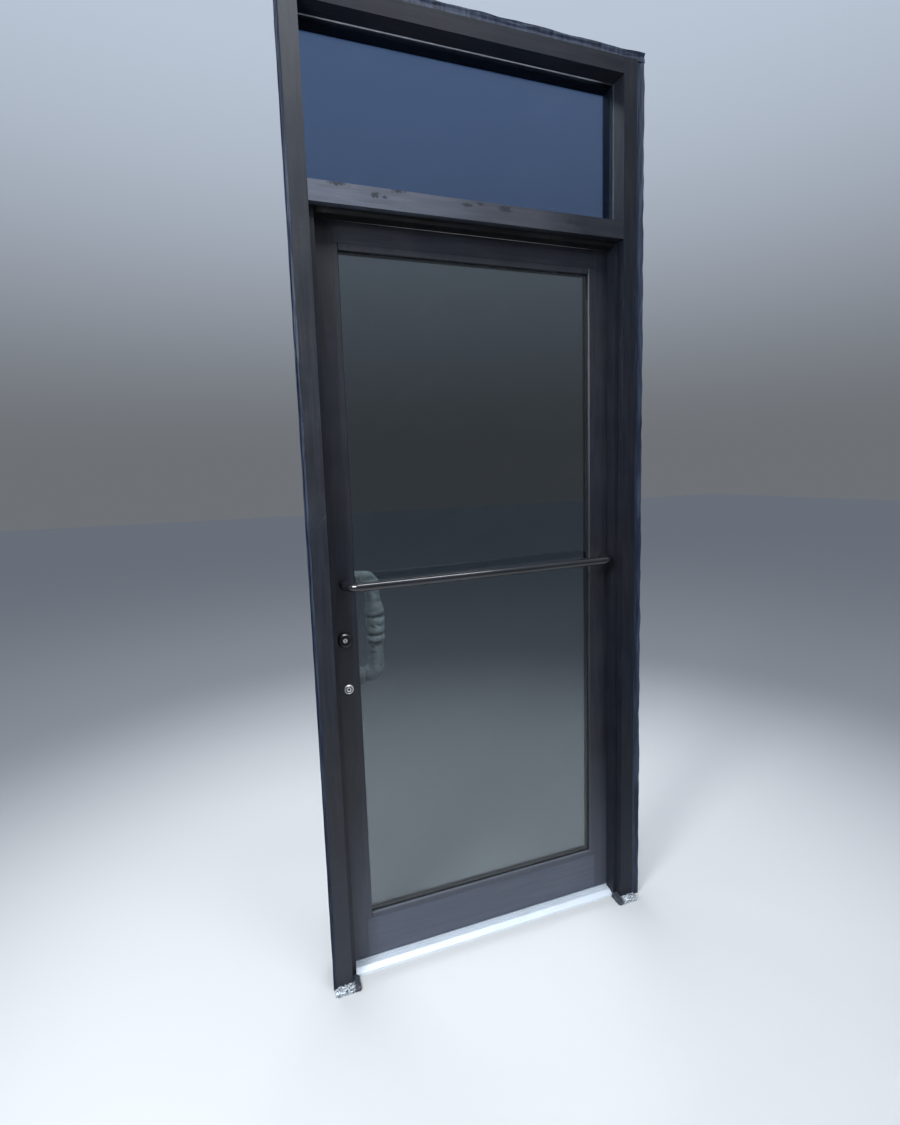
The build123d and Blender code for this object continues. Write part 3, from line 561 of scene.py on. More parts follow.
threshold_metal = make_threshold_metal()
block_metal = metal("mill_aluminium_blocks", (0.72, 0.73, 0.74), (0.5, 0.5, 0.52), 0.4, (0.03, 1, 1), 600.0)
spacer_metal = metal(
    "dark_spacer", (0.040, 0.044, 0.050), (0.026, 0.028, 0.032), 0.45, (1, 1, 0.03), 700.0, dust=0.02,
)
screw_metal = metal("zinc_plated_steel", (0.58, 0.58, 0.60), (0.40, 0.39, 0.38), 0.3, (1, 1, 1), 500.0)
lock_metal = metal("brushed_steel_lock", (0.62, 0.61, 0.60), (0.42, 0.41, 0.40), 0.26, (1, 1, 0.04), 1200.0)
cylinder_metal = metal(
    "brushed_nickel", (0.92, 0.91, 0.89), (0.62, 0.60, 0.56), 0.26, (1, 1, 1), 1500.0, stain=0.3,
)
glass = tinted_glass("tinted_glass", (0.390, 0.420, 0.435), (0.415, 0.440, 0.455))
# The transom panes' blue tint stands for the sky reflected in them: painted reflection
painted_sky_glass = tinted_glass("glass_with_painted_sky_blue", (0.285, 0.370, 0.500), (0.315, 0.400, 0.525))
# Near black for the panes' edges: painted shade
dark_painted_glass_edge = rubber("glass_edge_painted_dark", (0.010, 0.014, 0.014), (0.02, 0.026, 0.026), 0.7)
# The pale gasket's dark right end is painted shade
pale_rubber = rubber("pale_gasket", (0.40, 0.42, 0.43), (0.55, 0.56, 0.56), 0.6, right=(0.045, 0.05, 0.06))
black_rubber = rubber("black_gasket", (0.012, 0.012, 0.013), (0.025, 0.025, 0.026), 0.55)


# Grey pile, its own pale grey made paler so that it shows as a light line in the shade under the head: part
# painted light
def make_pile_fabric():
    made = Finish("grey_pile")
    tone = made.step(made.noise(60.0), 0.35, 0.7)
    made.set(Base_Color=made.blend(tone, (0.50, 0.51, 0.52), (0.72, 0.73, 0.74)))
    made.set(Roughness=0.9, Sheen_Weight=0.4)
    made.bump(made.noise(2600.0, 3.0, (1, 0.15, 1)), 0.0003, 0.8)
    return made.material


# Pale wrap, with painted shade darkening it where its folds go in
def make_wrap_plastic():
    made = Finish("pale_crumpled_wrap")
    tone = made.noise(30.0, 5.0)
    pale = made.blend(made.step(tone, 0.32, 0.7), (0.76, 0.86, 0.85), (0.93, 0.97, 0.95))
    depth = made.node("ShaderNodeAttribute", {}, attribute_name="fold_depth")["Fac"]
    # Painted shade in the folds
    painted_crease_shade = made.times(made.step(depth, 0.0002, 0.0016), 0.8)
    made.set(Base_Color=made.blend(painted_crease_shade, pale, (0.16, 0.21, 0.21)), Sheen_Weight=0.15)
    made.set(Roughness=made.plus(0.38, made.times(tone, 0.3)))
    made.bump(made.noise(260.0, 6.0, roughness=0.65), 0.0011, 0.8)
    return made.material


def make_sealant_gloss():
    made = Finish("tooled_sealant")
    waves = made.noise(120.0, stretch=(1, 1, 0.09))
    small = made.times(made.noise(420.0, 3.0, (1, 1, 0.3)), 0.3)
    tone = made.step(made.noise(90.0, stretch=(1, 1, 0.07)), 0.35, 0.7)
    made.set(Base_Color=made.blend(tone, (0.008, 0.014, 0.030), (0.034, 0.046, 0.076)))
    made.set(Roughness=made.plus(0.38, small), Specular_IOR_Level=0.25)
    made.bump(made.plus(waves, small), 0.0016, 0.8)
    return made.material


# Sealant at a foot, silvery on its outer front and dark elsewhere; the silvery flecks are partly its own
# colour and partly painted glints on its crumples
def make_foot_sealant():
    made = Finish("silvery_foot_sealant")
    before = made.step(made.times(made.axis("Y"), -1.0), 0.054, 0.062)
    outside = made.step(made.maths("ABSOLUTE", made.axis("X")), 0.450, 0.462)
    flecks = made.noise(240.0, 5.0, roughness=0.6)
    silver_and_glints = made.times(made.times(before, outside), made.step(flecks, 0.38, 0.58))
    made.set(Base_Color=made.blend(silver_and_glints, (0.040, 0.046, 0.062), (0.74, 0.80, 0.84)))
    made.set(Metallic=made.times(silver_and_glints, 0.6), Roughness=made.plus(0.22, made.times(flecks, 0.25)))
    made.bump(flecks, 0.0012, 0.8)
    return made.material


pile_fabric = make_pile_fabric()
wrap_plastic = make_wrap_plastic()
sealant_gloss = make_sealant_gloss()
foot_sealant = make_foot_sealant()

FINISHES = (
    (jamb_coat, "jamb_left jamb_fillers stop_left"), (shaded_right_jamb_coat, "jamb_right stop_right"),
    (shaded_head_coat, "head"), (shaded_head_stop_coat, "stop_head"), (transom_coat, "transom_bar"),
    (stile_coat, "stile_lock stile_hinge beads_outer beads_inner"), (rail_coat, "rail_bottom rail_top"),
    (hinge_coat, "hinge_frame_leaves hinge_door_leaves hinge_pins"),
    (black_gloss, "push_bar pull_handle cylinder_collar"), (wrap_plastic, "pull_sleeve"),
    (threshold_metal, "threshold"), (block_metal, "corner_blocks"),
    (spacer_metal, "light_spacer leaf_spacer"), (screw_metal, "joint_screws tie_rods lock_case"),
    (lock_metal, "strike lock_face deadbolt turn_rose thumb_turn"),
    (cylinder_metal, "handle_bolts bolt_washers key_cylinder key_plug"),
    (glass, "leaf_pane_outer leaf_pane_inner"), (painted_sky_glass, "light_pane_outer light_pane_inner"),
    (black_rubber, "light_blocks light_gasket_inner leaf_blocks leaf_gasket_outer leaf_gasket_inner"),
    (pale_rubber, "light_gasket_outer"), (pile_fabric, "pile_strips brush"),
    (sealant_gloss, "sealant_left sealant_right sealant_head"), (foot_sealant, "foot_left foot_right"),
)


def finish_with(piece, material):
    piece.data.materials.clear()
    piece.data.materials.append(material)


# Light passes a pane unshaded, as it does through real glass, and the pane's edges are near black: painted
# shade
def finish_pane(pane):
    pane.visible_shadow = False
    pane.data.materials.append(dark_painted_glass_edge)
    for face in pane.data.polygons:
        if abs(face.normal.y) < 0.5:
            face.material_index = 1


for material, names in FINISHES:
    for name in names.split():
        finish_with(nodes[name], material)
for name in ("light_pane_outer", "light_pane_inner", "leaf_pane_outer", "leaf_pane_inner"):
    finish_pane(nodes[name])

# Pieces of the door

LEAF_FRONT = 0.012
LEAF_BACK = 0.05645
BAR_RADIUS = 0.0127
BAR_LEFT = (-0.414, 1.170)
BAR_RIGHT = (0.425, 1.183)
BAR_OUT = 0.066
BAR_BEND = 0.045
PULL_IN = 0.052
PULL_LOW = 0.8652
GRIP_X = -0.3125
PULL_BEND = 0.032
LOCK_X = -0.418
LOCK_Z = 1.0105
LOCK_SIDES = 64
ROD_SIDES = 40
TURN_GAP = 0.0053
SHAFT_RADIUS = 0.005
BLADE_ROUND = 0.0052
BOLT_RADIUS = 0.005
BOLT_PAST_LEAF = 0.016


def place_piece(piece, smooth_angle, body, material, stands_for):
    take(piece)
    bpy.ops.object.shade_smooth_by_angle(angle=math.radians(smooth_angle))
    finish_with(piece, material)
    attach(piece, body)
    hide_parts(stands_for)


def make_push_bar():
    bar_y = LEAF_FRONT - BAR_OUT
    corners = [Vector((x, y, z)) for (x, z), y in (
        (BAR_LEFT, LEAF_FRONT), (BAR_LEFT, bar_y), (BAR_RIGHT, bar_y), (BAR_RIGHT, LEAF_FRONT),
    )]
    piece = bent_rod("push_bar_round", corners, BAR_BEND, BAR_RADIUS, ROD_SIDES, 16, run_step=0.2)
    round_edges(piece, 0.0008)
    place_piece(piece, 35, "leaf", black_gloss, "push_bar")


# Corners of the pull handle's middle line, from a start at the leaf's back or off it
def pull_corners(start_y):
    x, top = BAR_LEFT
    pull_y = LEAF_BACK + PULL_IN
    return [Vector(corner) for corner in (
        (x, start_y, top), (x, pull_y, top), (GRIP_X, pull_y, top),
        (GRIP_X, pull_y, PULL_LOW), (x, pull_y, PULL_LOW), (x, start_y, PULL_LOW),
    )]


def make_pull_handle():
    corners = pull_corners(LEAF_BACK)
    piece = bent_rod("pull_handle_round", corners, PULL_BEND, BAR_RADIUS, ROD_SIDES, 14)
    round_edges(piece, 0.0008)
    place_piece(piece, 35, "leaf", black_gloss, "pull_handle")


# Cut a slot into the end face of a turned piece
def cut_slot(piece, centre, width, height, step):
    take(piece)
    edit()
    for half, direction in ((width / 2, Vector((1, 0, 0))), (height / 2, Vector((0, 0, 1)))):
        for side in (-1, 1):
            pick_all()
            bpy.ops.mesh.bisect(plane_co=centre + direction * half * side, plane_no=direction)

    def in_slot(face):
        away = face.calc_center_median() - centre
        return abs(away.x) < width / 2 and abs(away.z) < height / 2 and abs(away.y) < 0.0001

    pick("FACE", in_slot)
    extrude(step)
    leave()
    settle(piece)


def make_lock():
    front = (LOCK_X, LEAF_FRONT, LOCK_Z)
    out = (0, -1, 0)
    collar = turned("collar_ring", front, out, [
        (0.0210, 0), (0.0210, 0.0056), (0.0208, 0.0063), (0.0202, 0.0070), (0.0163, 0.0105), (0.0156, 0.0109),
        (0.0151, 0.0109), (0.0148, 0.0106), (0.0146, 0.0098), (0.0146, 0.0004),
    ], LOCK_SIDES)
    place_piece(collar, 40, "leaf", collar_gloss, "cylinder_collar")
    cylinder = turned("cylinder_body", front, out, [
        (0.0143, -0.028), (0.0143, 0.0084), (0.0137, 0.0090), (0.0108, 0.0090), (0.0106, 0.0086),
        (0.0100, 0.0086), (0.0098, 0.0090), (0.0070, 0.0090), (0.0066, 0.0086), (0.0064, 0.0080),
        (0.0064, -0.0276),
    ], LOCK_SIDES)
    place_piece(cylinder, 40, "leaf", cylinder_black, "key_cylinder")
    plug_reach = 0.0102
    plug = turned("plug_with_keyway", front, out, [
        (0.00635, -0.0269), (0.00635, 0.0095), (0.0058, plug_reach),
    ])
    cut_slot(plug, Vector((LOCK_X, LEAF_FRONT - plug_reach, LOCK_Z)), 0.0030, 0.0088, (0, 0.014, 0))
    place_piece(plug, 40, "key_plug", cylinder_metal, "key_plug")


def make_rose():
    rose = turned("turn_rose_ring", (LOCK_X, LEAF_BACK, LOCK_Z), (0, 1, 0), [
        (0.0170, 0), (0.0170, 0.0030), (0.0163, 0.0042), (0.0150, 0.0050), (0.0080, 0.0050), (0.0075, 0.0046),
        (0.0060, 0.0046), (0.0051, 0.0044), (0.0051, 0.0004),
    ], LOCK_SIDES)
    place_piece(rose, 40, "leaf", lock_metal, "turn_rose")


# Blade with rounded ends on a short shaft
def make_thumb_turn():
    low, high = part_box("thumb_turn")
    base = LEAF_BACK + TURN_GAP
    shaft_steps = [(SHAFT_RADIUS, 0), (SHAFT_RADIUS, base - low.y + 0.001)]
    shaft = turned("turn_shaft", (LOCK_X, low.y, LOCK_Z), (0, 1, 0), shaft_steps, 32)
    blade = block("turn_blade", Vector((low.x, base, low.z)), high)
    take(blade)
    edit()
    pick("EDGE", lambda e: abs(e.verts[0].co.y - e.verts[1].co.y) > 0.005)
    bpy.ops.mesh.bevel(offset=BLADE_ROUND, segments=8, affect="EDGES")
    pick("FACE", lambda f: f.calc_center_median().y > high.y - 0.0001)
    extrude((0, -0.0001, 0))
    pivot = ((low.x + high.x) / 2, high.y, (low.z + high.z) / 2)
    bpy.ops.transform.resize(value=(0.8, 1, 0.93), center_override=pivot)
    leave()
    round_edges(blade, 0.0009, 3, 40)
    turn = join_as("thumb_turn_blade", [shaft, blade])
    place_piece(turn, 40, "thumb_turn", lock_metal, "thumb_turn")


SOCKET_RADIUS = 0.0040
RING_INNER = 0.0070
RING_OUTER = 0.0097
HOLLOW_TOP = 0.0033


# Painted shade in the ring round each bolt head and in its socket
def shade_hollows(piece, places):
    piece.data.materials.append(painted_hollow_shade)
    for face in piece.data.polygons:
        for _, centre, out in places:
            away = face.center - centre
            height = away.dot(out)
            radius = (away - out * height).length
            hollow = radius < SOCKET_RADIUS or RING_INNER < radius < RING_OUTER
            if hollow and 0 < height < HOLLOW_TOP:
                face.material_index = 1


def make_headed_bolt(name, centre, out, length):
    bolt = turned(name, centre, out, [
        (BOLT_RADIUS, -length), (BOLT_RADIUS, 0.0009), (0.0066, 0.0020), (0.0070, 0.0030), (0.0069, 0.0036),
        (0.0063, 0.0040),
    ])
    socket_centre = centre + out * 0.0040
    take(bolt)
    edit()
    pick("FACE", lambda f: (f.calc_center_median() - socket_centre).length < 0.0002)
    bpy.ops.mesh.inset(thickness=0.0030)
    extrude(out * -0.0036)
    leave()
    return settle(bolt)


# Dished washer and bolt head on one face of the leaf; the bolt runs on into the other handle
def make_headed_bolts():
    places = [
        ("lower", Vector((BAR_LEFT[0], LEAF_FRONT, PULL_LOW)), Vector((0, -1, 0))),
        ("right", Vector((BAR_RIGHT[0], LEAF_BACK, BAR_RIGHT[1])), Vector((0, 1, 0))),
    ]
    length = LEAF_BACK - LEAF_FRONT + BOLT_PAST_LEAF
    washers, bolts = [], []
    for name, centre, out in places:
        washers.append(turned("washer_" + name, centre, out, [
            (0.0140, 0), (0.0140, 0.0008), (0.0136, 0.0018), (0.0122, 0.0033), (0.0111, 0.0039),
            (0.0103, 0.0040), (0.0098, 0.0037), (0.0095, 0.0029), (0.0093, 0.0008), (0.0055, 0.0004),
        ], 56))
        bolts.append(make_headed_bolt("bolt_" + name, centre, out, length))
    shared_steps = [(BOLT_RADIUS, -BOLT_PAST_LEAF), (BOLT_RADIUS, length)]
    bolts.append(turned("bolt_shared", (BAR_LEFT[0], LEAF_FRONT, BAR_LEFT[1]), (0, 1, 0), shared_steps, 32))
    for name, group, node_name in (
        ("washers_dished", washers, "bolt_washers"), ("bolts_with_sockets", bolts, "handle_bolts"),
    ):
        joined = join_as(name, group)
        place_piece(joined, 40, "leaf", cylinder_metal, node_name)
        shade_hollows(joined, places)


make_push_bar()
make_pull_handle()
make_lock()
make_rose()
make_thumb_turn()
make_headed_bolts()

# Soft wrap on the pull handle

WRAP_GAP = 0.014
WRAP_RADIUS = 0.022
WRAP_SIDES = 48
WRAP_STEP = 0.0026
WRAP_GROWTH = 0.18
WRAP_FRAMES = 20
WRAP_HELD = 0.004
WRAP_LEAST = 0.0150
WRAP_MOST = 0.0300
WRAP_FARTHEST_MOVE = 0.0060
WRAP_WALL = 0.0010
FOLD_ROUNDS = 90
# Widths along the wrap before it is gathered: share of the way from its top end, and radius there
WRAP_WIDTHS = [
    (0.0, 0.0205), (0.05, 0.0230), (0.20, 0.0245), (0.28, 0.0240), (0.335, 0.0225), (0.375, 0.0255),
    (0.405, 0.0280), (0.428, 0.0225), (0.455, 0.0265), (0.495, 0.0250), (0.515, 0.0240), (0.534, 0.0205),
    (0.56, 0.0245), (0.60, 0.0240), (0.68, 0.0245), (0.74, 0.0250), (0.80, 0.0245), (0.832, 0.0220),
    (0.86, 0.0290), (0.885, 0.0225), (0.91, 0.0290), (0.94, 0.0235), (0.97, 0.0245), (1.0, 0.0205),
]
CLOTH = {
    "vertex_group_mass": "held", "quality": 8, "mass": 0.02, "tension_stiffness": 60,
    "compression_stiffness": 60, "shear_stiffness": 10, "bending_stiffness": 0.12, "air_damping": 2,
    "shrink_min": -WRAP_GROWTH, "use_pressure": True, "uniform_pressure_force": 2,
}


def width_at(share):
    for (s0, r0), (s1, r1) in zip(WRAP_WIDTHS, WRAP_WIDTHS[1:]):
        if share <= s1:
            t = (share - s0) / (s1 - s0)
            t = t * t * (3 - 2 * t)
            return r0 + (r1 - r0) * t
    return WRAP_WIDTHS[-1][1]


# Points along the middle of a bent run: distance along it, the point, its way and a steady side direction
def middle_line(corners, bend, side, bend_steps=40, run_step=0.001):
    points = []
    ways = [(b - a).normalized() for a, b in zip(corners, corners[1:])]
    for n, way in enumerate(ways):
        start = corners[n] + way * (bend if n > 0 else 0)
        end = corners[n + 1] - way * (bend if n < len(ways) - 1 else 0)
        steps = max(1, round((end - start).length / run_step))
        points += [(start.lerp(end, k / steps), way) for k in range(steps + 1)]
        if n < len(ways) - 1:
            onward = ways[n + 1]
            centre = end + onward * bend
            for k in range(1, bend_steps):
                turn = math.radians(90) * k / bend_steps
                away = way * math.sin(turn) - onward * math.cos(turn)
                points.append((centre + away * bend, way * math.cos(turn) + onward * math.sin(turn)))
    line, along, last = [], 0.0, points[0][0]
    for point, way in points:
        along += (point - last).length
        last = point
        side = (side - way * side.dot(way)).normalized()
        line.append((along, point, way, side.copy()))
    return line


# Where each vertex of a sleeve lies on its middle line: distance along, middle point, way out and angle
def places_on(line, piece):
    tree = KDTree(len(line))
    for index, (_, point, _, _) in enumerate(line):
        tree.insert(point, index)
    tree.balance()
    places = []
    for v in piece.data.vertices:
        along, point, way, side = line[tree.find(v.co)[1]]
        away = v.co - point
        away = (away - way * away.dot(way)).normalized()
        places.append((along, point, away, math.atan2(away.dot(way.cross(side)), away.dot(side))))
    return places


# Writes on each vertex how far it lies under the cloth round it, so that the material can paint shade into
# the folds
def mark_fold_depths(piece, heights):
    mesh = piece.data
    ends = np.array([edge.vertices[:] for edge in mesh.edges])
    starts, stops = ends[:, 0], ends[:, 1]
    count = len(mesh.vertices)
    neighbours = np.bincount(starts, minlength=count) + np.bincount(stops, minlength=count)
    heights = np.array(heights)
    level = heights.copy()
    for _ in range(FOLD_ROUNDS):
        total = np.bincount(starts, level[stops], count) + np.bincount(stops, level[starts], count)
        level = 0.5 * level + 0.5 * total / neighbours
    depths = mesh.attributes.new("fold_depth", "FLOAT", "POINT")
    depths.data.foreach_set("value", level - heights)


# The sleeve holds more cloth than the run it sits on, so it gathers into folds between its two held ends
def gather(piece, places, length):
    near_end = [n for n, place in enumerate(places) if min(place[0], length - place[0]) < WRAP_HELD]
    piece.vertex_groups.new(name="held").add(near_end, 1.0, "REPLACE")
    cloth = piece.modifiers.new("cloth", "CLOTH")
    for key, value in CLOTH.items():
        setattr(cloth.settings, key, value)
    cloth.settings.effector_weights.gravity = 0
    cloth.point_cache.frame_start = 1
    cloth.point_cache.frame_end = WRAP_FRAMES
    for step in range(1, WRAP_FRAMES + 1):
        bpy.context.scene.frame_set(step)
    apply_modifier(piece, cloth)
    piece.vertex_groups.clear()
    bpy.context.scene.frame_set(1)


# Fullness of the sleeve before it is gathered, a little uneven
def puff_up(piece, places, length):
    for v, (along, point, away, angle) in zip(piece.data.vertices, places):
        around = Vector((math.cos(angle), math.sin(angle), 0))
        slow = Vector((2.1, 0.4, (along + 0.012 * math.sin(angle)) * 75))
        quick = Vector((5.3, 1.4, (along + 0.008 * angle) * 170))
        uneven = 0.0022 * noise.noise(around * 0.8 + slow)
        uneven += 0.0011 * noise.noise(around * 1.8 + quick)
        v.co = point + away * (width_at(along / length) + uneven)


def make_wrap():
    corners = pull_corners(LEAF_BACK + WRAP_GAP)
    piece = bent_rod("soft_wrap", corners, PULL_BEND, WRAP_RADIUS, WRAP_SIDES, 20, WRAP_STEP, closed=False)
    line = middle_line(corners, PULL_BEND, Vector((0, 0, 1)))
    places = places_on(line, piece)
    length = line[-1][0]
    puff_up(piece, places, length)
    before = [v.co.copy() for v in piece.data.vertices]
    gather(piece, places, length)
    for v, start in zip(piece.data.vertices, before):
        move = v.co - start
        if move.length > WRAP_FARTHEST_MOVE:
            v.co = start + move.normalized() * WRAP_FARTHEST_MOVE
    modify(piece, "SUBSURF", levels=1, render_levels=1)
    heights = []
    for v, (_, point, away, _) in zip(piece.data.vertices, places_on(line, piece)):
        out = (v.co - point).dot(away)
        heights.append(min(max(out, WRAP_LEAST), WRAP_MOST))
        v.co += away * (heights[-1] - out)
    mark_fold_depths(piece, heights)
    modify(piece, "SOLIDIFY", thickness=WRAP_WALL, offset=-1)
    place_piece(piece, 60, "leaf", wrap_plastic, "pull_sleeve")


make_wrap()

# Sealant

BAND_STEP = 0.004
BAND_COLUMNS = 14
# Shares of a band's depth by which its face lies back
BAND_SINK = 0.30
BAND_BELLY = 0.22
BAND_WAVE = 0.16
BAND_DEEPEST = 0.85


def noise_of(*place):
    return noise.noise(Vector(place))


# Band between two corners of a front face, uneven along its free edge
def sealant_band(name, upright, free_side, seed):
    low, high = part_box(name)
    width, length = high.x - low.x, high.z - low.z
    if not upright:
        width, length = length, width
    depth = high.y - low.y
    start_clean()
    bpy.ops.mesh.primitive_grid_add(
        x_subdivisions=BAND_COLUMNS, y_subdivisions=int(length / BAND_STEP), size=1, location=(0, 0, 0),
    )
    piece = named(name + "_band")
    for v in piece.data.vertices:
        across, along = v.co.x + 0.5, (v.co.y + 0.5) * length
        if free_side < 0:
            across = 1 - across
        torn = 0.07 * (0.5 + noise_of(seed, 0.3, along * 20))
        torn += 0.08 * max(0.0, noise_of(seed, 4.1, along * 7))
        spread = across * (1 - torn * min(1.0, 3 * across))
        belly = math.sin(math.pi * min(1.0, max(0.0, spread)))
        wave = noise_of(spread * 3.4, seed + 2.0, along * 9) + 0.4 * noise_of(spread * 6, seed, along * 30)
        sink = depth * (BAND_SINK + BAND_BELLY * belly + BAND_WAVE * wave)
        sink = min(depth * BAND_DEEPEST, max(0.0, sink if across > 0.02 else depth * BAND_SINK))
        offset = spread * width
        y = low.y + sink
        if upright:
            x = low.x + offset if free_side > 0 else high.x - offset
            v.co = Vector((x, y, low.z + along))
        else:
            v.co = Vector((low.x + along, y, low.z + offset))
    settle(piece)
    edit()
    pick_all()
    extrude((0, depth, 0))
    leave()
    for v in piece.data.vertices:
        if v.co.y > low.y + depth * 0.95:
            v.co.y = high.y
    settle(piece)
    place_piece(piece, 50, "frame", sealant_gloss, name)


def ridge(point):
    return 1 - min(1.0, 2.2 * abs(noise.noise(point)))


HEAP_GRAIN = 0.0011
HEAP_ROUGH = 0.0026
HEAP_BEND = 0.003
HEAP_SHIFTS = (Vector((0, 0, 0)), Vector((9, 0, 0)), Vector((0, 9, 0)))


# Heap at a foot: the plain heap's form, made fine and crumpled
def make_foot_heap(name):
    copy = nodes[name].copy()
    copy.data = nodes[name].data.copy()
    copy.parent = None
    for key in list(copy.keys()):
        if key.startswith("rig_"):
            del copy[key]
    bpy.context.scene.collection.objects.link(copy)
    take(copy)
    piece = settle(named(name + "_heap"))
    modify(piece, "REMESH", mode="VOXEL", voxel_size=HEAP_GRAIN)
    low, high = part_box(name)
    side = -1 if high.x < 0 else 1
    moves = []
    for v in piece.data.vertices:
        p = v.co * 150 + Vector((side * 3.0, 0, 0))
        bent = v.co + Vector([noise.noise(p + shift) for shift in HEAP_SHIFTS]) * HEAP_BEND
        creases = ridge(bent * 130) ** 2 + 0.5 * ridge(bent * 310) ** 2
        moves.append(v.normal * (HEAP_ROUGH * (creases - 0.95)))
    for v, move in zip(piece.data.vertices, moves):
        v.co = Vector([min(max(c, a), b) for c, a, b in zip(v.co + move, low, high)])
    place_piece(piece, 60, "frame", foot_sealant, name)


sealant_band("sealant_left", True, -1, 1.0)
sealant_band("sealant_right", True, 1, 5.0)
sealant_band("sealant_head", False, 1, 9.0)
make_foot_heap("foot_left")
make_foot_heap("foot_right")

# Pile and brush


TUFT_TIP = 0.55
TUFT_LEAN = 0.8
TUFT_UNEVEN = 0.10


# Rows of small tufts between two corners, each leaning its own way: out is their axis and its sign
def make_tufts(name, low, high, along, out, pitch, rows, radius):
    up, sign = out
    across = ({0, 1, 2} - {along, up}).pop()
    tall = high[up] - low[up]
    length = high[along] - low[along]
    count = int(length / pitch)
    way, step = Vector((0, 0, 0)), Vector((0, 0, 0))
    way[up] = sign
    step[along] = pitch
    spacing = {"use_relative_offset": False, "use_constant_offset": True, "constant_offset_displace": step}
    made = []
    for row in range(rows):
        start = (low + high) / 2
        start[up] = low[up] if sign > 0 else high[up]
        start[along] = low[along] + (length - (count - 1) * pitch) / 2
        start[across] = low[across] + (high[across] - low[across]) * (row + 0.5) / rows
        start_clean()
        bpy.ops.mesh.primitive_cone_add(
            vertices=5, radius1=radius, radius2=radius * TUFT_TIP, depth=tall,
            location=start + way * tall / 2, rotation=way.to_track_quat("Z", "Y").to_euler(),
        )
        tuft = settle(named(name + "_row_%d" % row))
        modify(tuft, "ARRAY", count=count, **spacing)
        for v in tuft.data.vertices:
            height = abs(v.co[up] - start[up]) / tall
            cell = round((v.co[along] - start[along]) / pitch)
            lean = noise_of(cell * 0.71, row * 3.3, 0.5)
            sway = noise_of(cell * 0.53, row * 2.1, 7.5)
            v.co[along] += height * lean * pitch * TUFT_LEAN
            v.co[across] += height * sway * radius * TUFT_LEAN
            if height > 0.5:
                v.co[up] -= sign * tall * TUFT_UNEVEN * (0.5 + 0.5 * sway)
            for side in (along, across):
                v.co[side] = min(max(v.co[side], low[side]), high[side])
        made.append(tuft)
    return made


def backing_strip(name, low, high):
    strip = block(name, low, high)
    round_edges(strip, 0.0003, 1)
    return strip


PILE_BACKING = 0.0024
PILE_HALF_SLOT = 0.0048 / 2
PILE_HALF_TUFT = 0.0017
PILE_PITCH = 0.0019
PILE_RADIUS = 0.00095
HEAD_SLOT_RISE = 0.007
BRUSH_BACKING = 0.0012
BRUSH_PITCH = 0.0022
BRUSH_RADIUS = 0.0011


# The three pile strips in the stops' slots, each with the axis it runs on and the x and z of its two ends
def make_pile_strips():
    low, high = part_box("pile_strips")
    stop_low, stop_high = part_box("stop_head")
    tuft_y = low.y + PILE_BACKING
    side_x = high.x - PILE_HALF_SLOT
    head_z = stop_low.z + HEAD_SLOT_RISE
    pieces = []
    for name, along, start, end in (
        ("left", 2, (-side_x, low.z), (-side_x, high.z)), ("right", 2, (side_x, low.z), (side_x, high.z)),
        ("head", 0, (-stop_high.x, head_z), (stop_high.x, head_z)),
    ):
        across = Vector((1, 0, 0)) if along == 2 else Vector((0, 0, 1))
        back_low = Vector((start[0], low.y, start[1])) - across * PILE_HALF_SLOT
        back_high = Vector((end[0], tuft_y, end[1])) + across * PILE_HALF_SLOT
        pieces.append(backing_strip("pile_back_" + name, back_low, back_high))
        tuft_low = Vector((start[0], tuft_y, start[1])) - across * PILE_HALF_TUFT
        tuft_high = Vector((end[0], high.y, end[1])) + across * PILE_HALF_TUFT
        pieces += make_tufts("pile_" + name, tuft_low, tuft_high, along, (1, 1), PILE_PITCH, 2, PILE_RADIUS)
    joined = join_as("pile_strips_tufted", pieces)
    place_piece(joined, 50, "frame", pile_fabric, "pile_strips")


def make_brush_strip():
    low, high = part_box("brush")
    tuft_top = high.z - BRUSH_BACKING
    backing = backing_strip("brush_back", Vector((low.x, low.y, tuft_top)), high)
    tuft_high = Vector((high.x, high.y, tuft_top))
    tufts = make_tufts("brush_tufts", low, tuft_high, 0, (2, -1), BRUSH_PITCH, 4, BRUSH_RADIUS)
    joined = join_as("brush_tufted", [backing] + tufts)
    place_piece(joined, 50, "leaf", pile_fabric, "brush")


make_pile_strips()
make_brush_strip()

# Floor and light

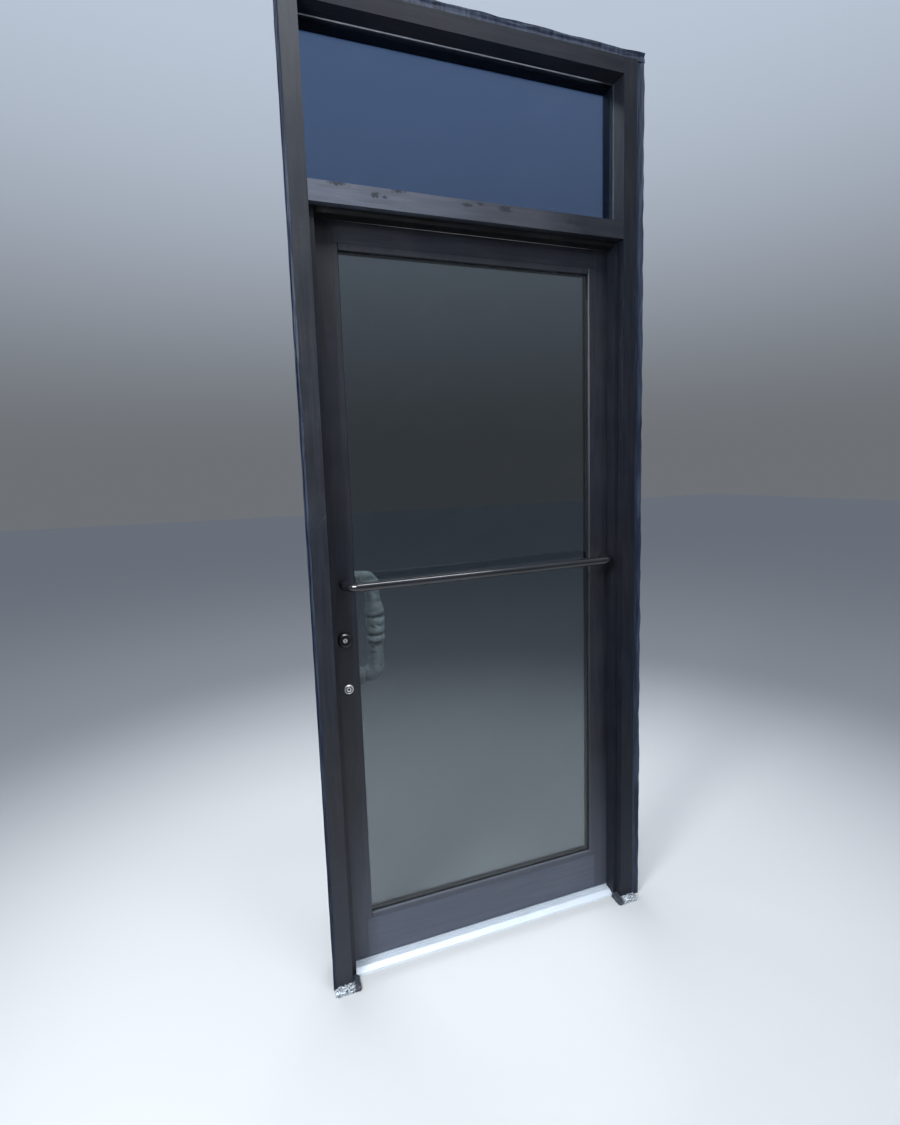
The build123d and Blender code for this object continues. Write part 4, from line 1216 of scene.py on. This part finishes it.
# The floor fades from its near colour to a darker far one away from the door: a painted pool of light round
# the door
FLOOR_NEAR = (0.58, 0.58, 0.575)
FLOOR_FAR = (0.24, 0.245, 0.255)
FADE_START = 1.0
FADE_END = 3.1
ROOM_LOW = (0.155, 0.165, 0.18)
ROOM_HIGH = (0.50, 0.57, 0.68)
LAMP_COLOUR = (0.93, 0.965, 1.0)


def make_floor():
    start_clean()
    bpy.ops.mesh.primitive_plane_add(size=40, location=(0, 0, 0))
    floor = named("floor")
    made = Finish("pale_floor")
    away = made.vectors("LENGTH", made.place)["Value"]
    painted_light_falloff = made.step(away, FADE_START, FADE_END)
    made.set(Base_Color=made.blend(painted_light_falloff, FLOOR_NEAR, FLOOR_FAR), Roughness=0.8)
    finish_with(floor, made.material)


# Soft rectangular lamp that lights the door and isn't seen itself
def make_lamp(name, place, aim, size, power):
    data = bpy.data.lights.new(name, "AREA")
    data.shape = "RECTANGLE"
    data.size, data.size_y = size
    data.energy = power
    data.color = LAMP_COLOUR
    lamp = bpy.data.objects.new(name, data)
    lamp.location = place
    lamp.rotation_euler = (Vector(aim) - Vector(place)).to_track_quat("-Z", "Y").to_euler()
    lamp.visible_camera = False
    lamp.visible_transmission = False
    bpy.context.scene.collection.objects.link(lamp)


# A room that is brighter overhead than at the horizon
def make_room():
    world = bpy.data.worlds.new("soft_room")
    world.use_nodes = True
    tree = world.node_tree
    room = Wires(tree, tree.nodes.new("ShaderNodeTexCoord").outputs["Generated"])
    up = room.step(room.axis("Z"), 0.02, 0.62)
    room.put(room.blend(up, ROOM_LOW, ROOM_HIGH), tree.nodes["Background"].inputs["Color"])
    bpy.context.scene.world = world


make_floor()
make_room()
make_lamp("front_lamp", (-0.1, -2.0, 4.8), (0, 0, 1.1), (3.4, 1.0), 112)
make_lamp("side_lamp", (-1.9, -1.4, 2.3), (-0.35, 0.1, 1.0), (0.7, 0.7), 62)
make_lamp("back_lamp", (-0.1, 2.3, 4.8), (0, 0, 1.1), (3.0, 1.0), 80)
view = bpy.context.scene.view_settings
view.view_transform = "Standard"
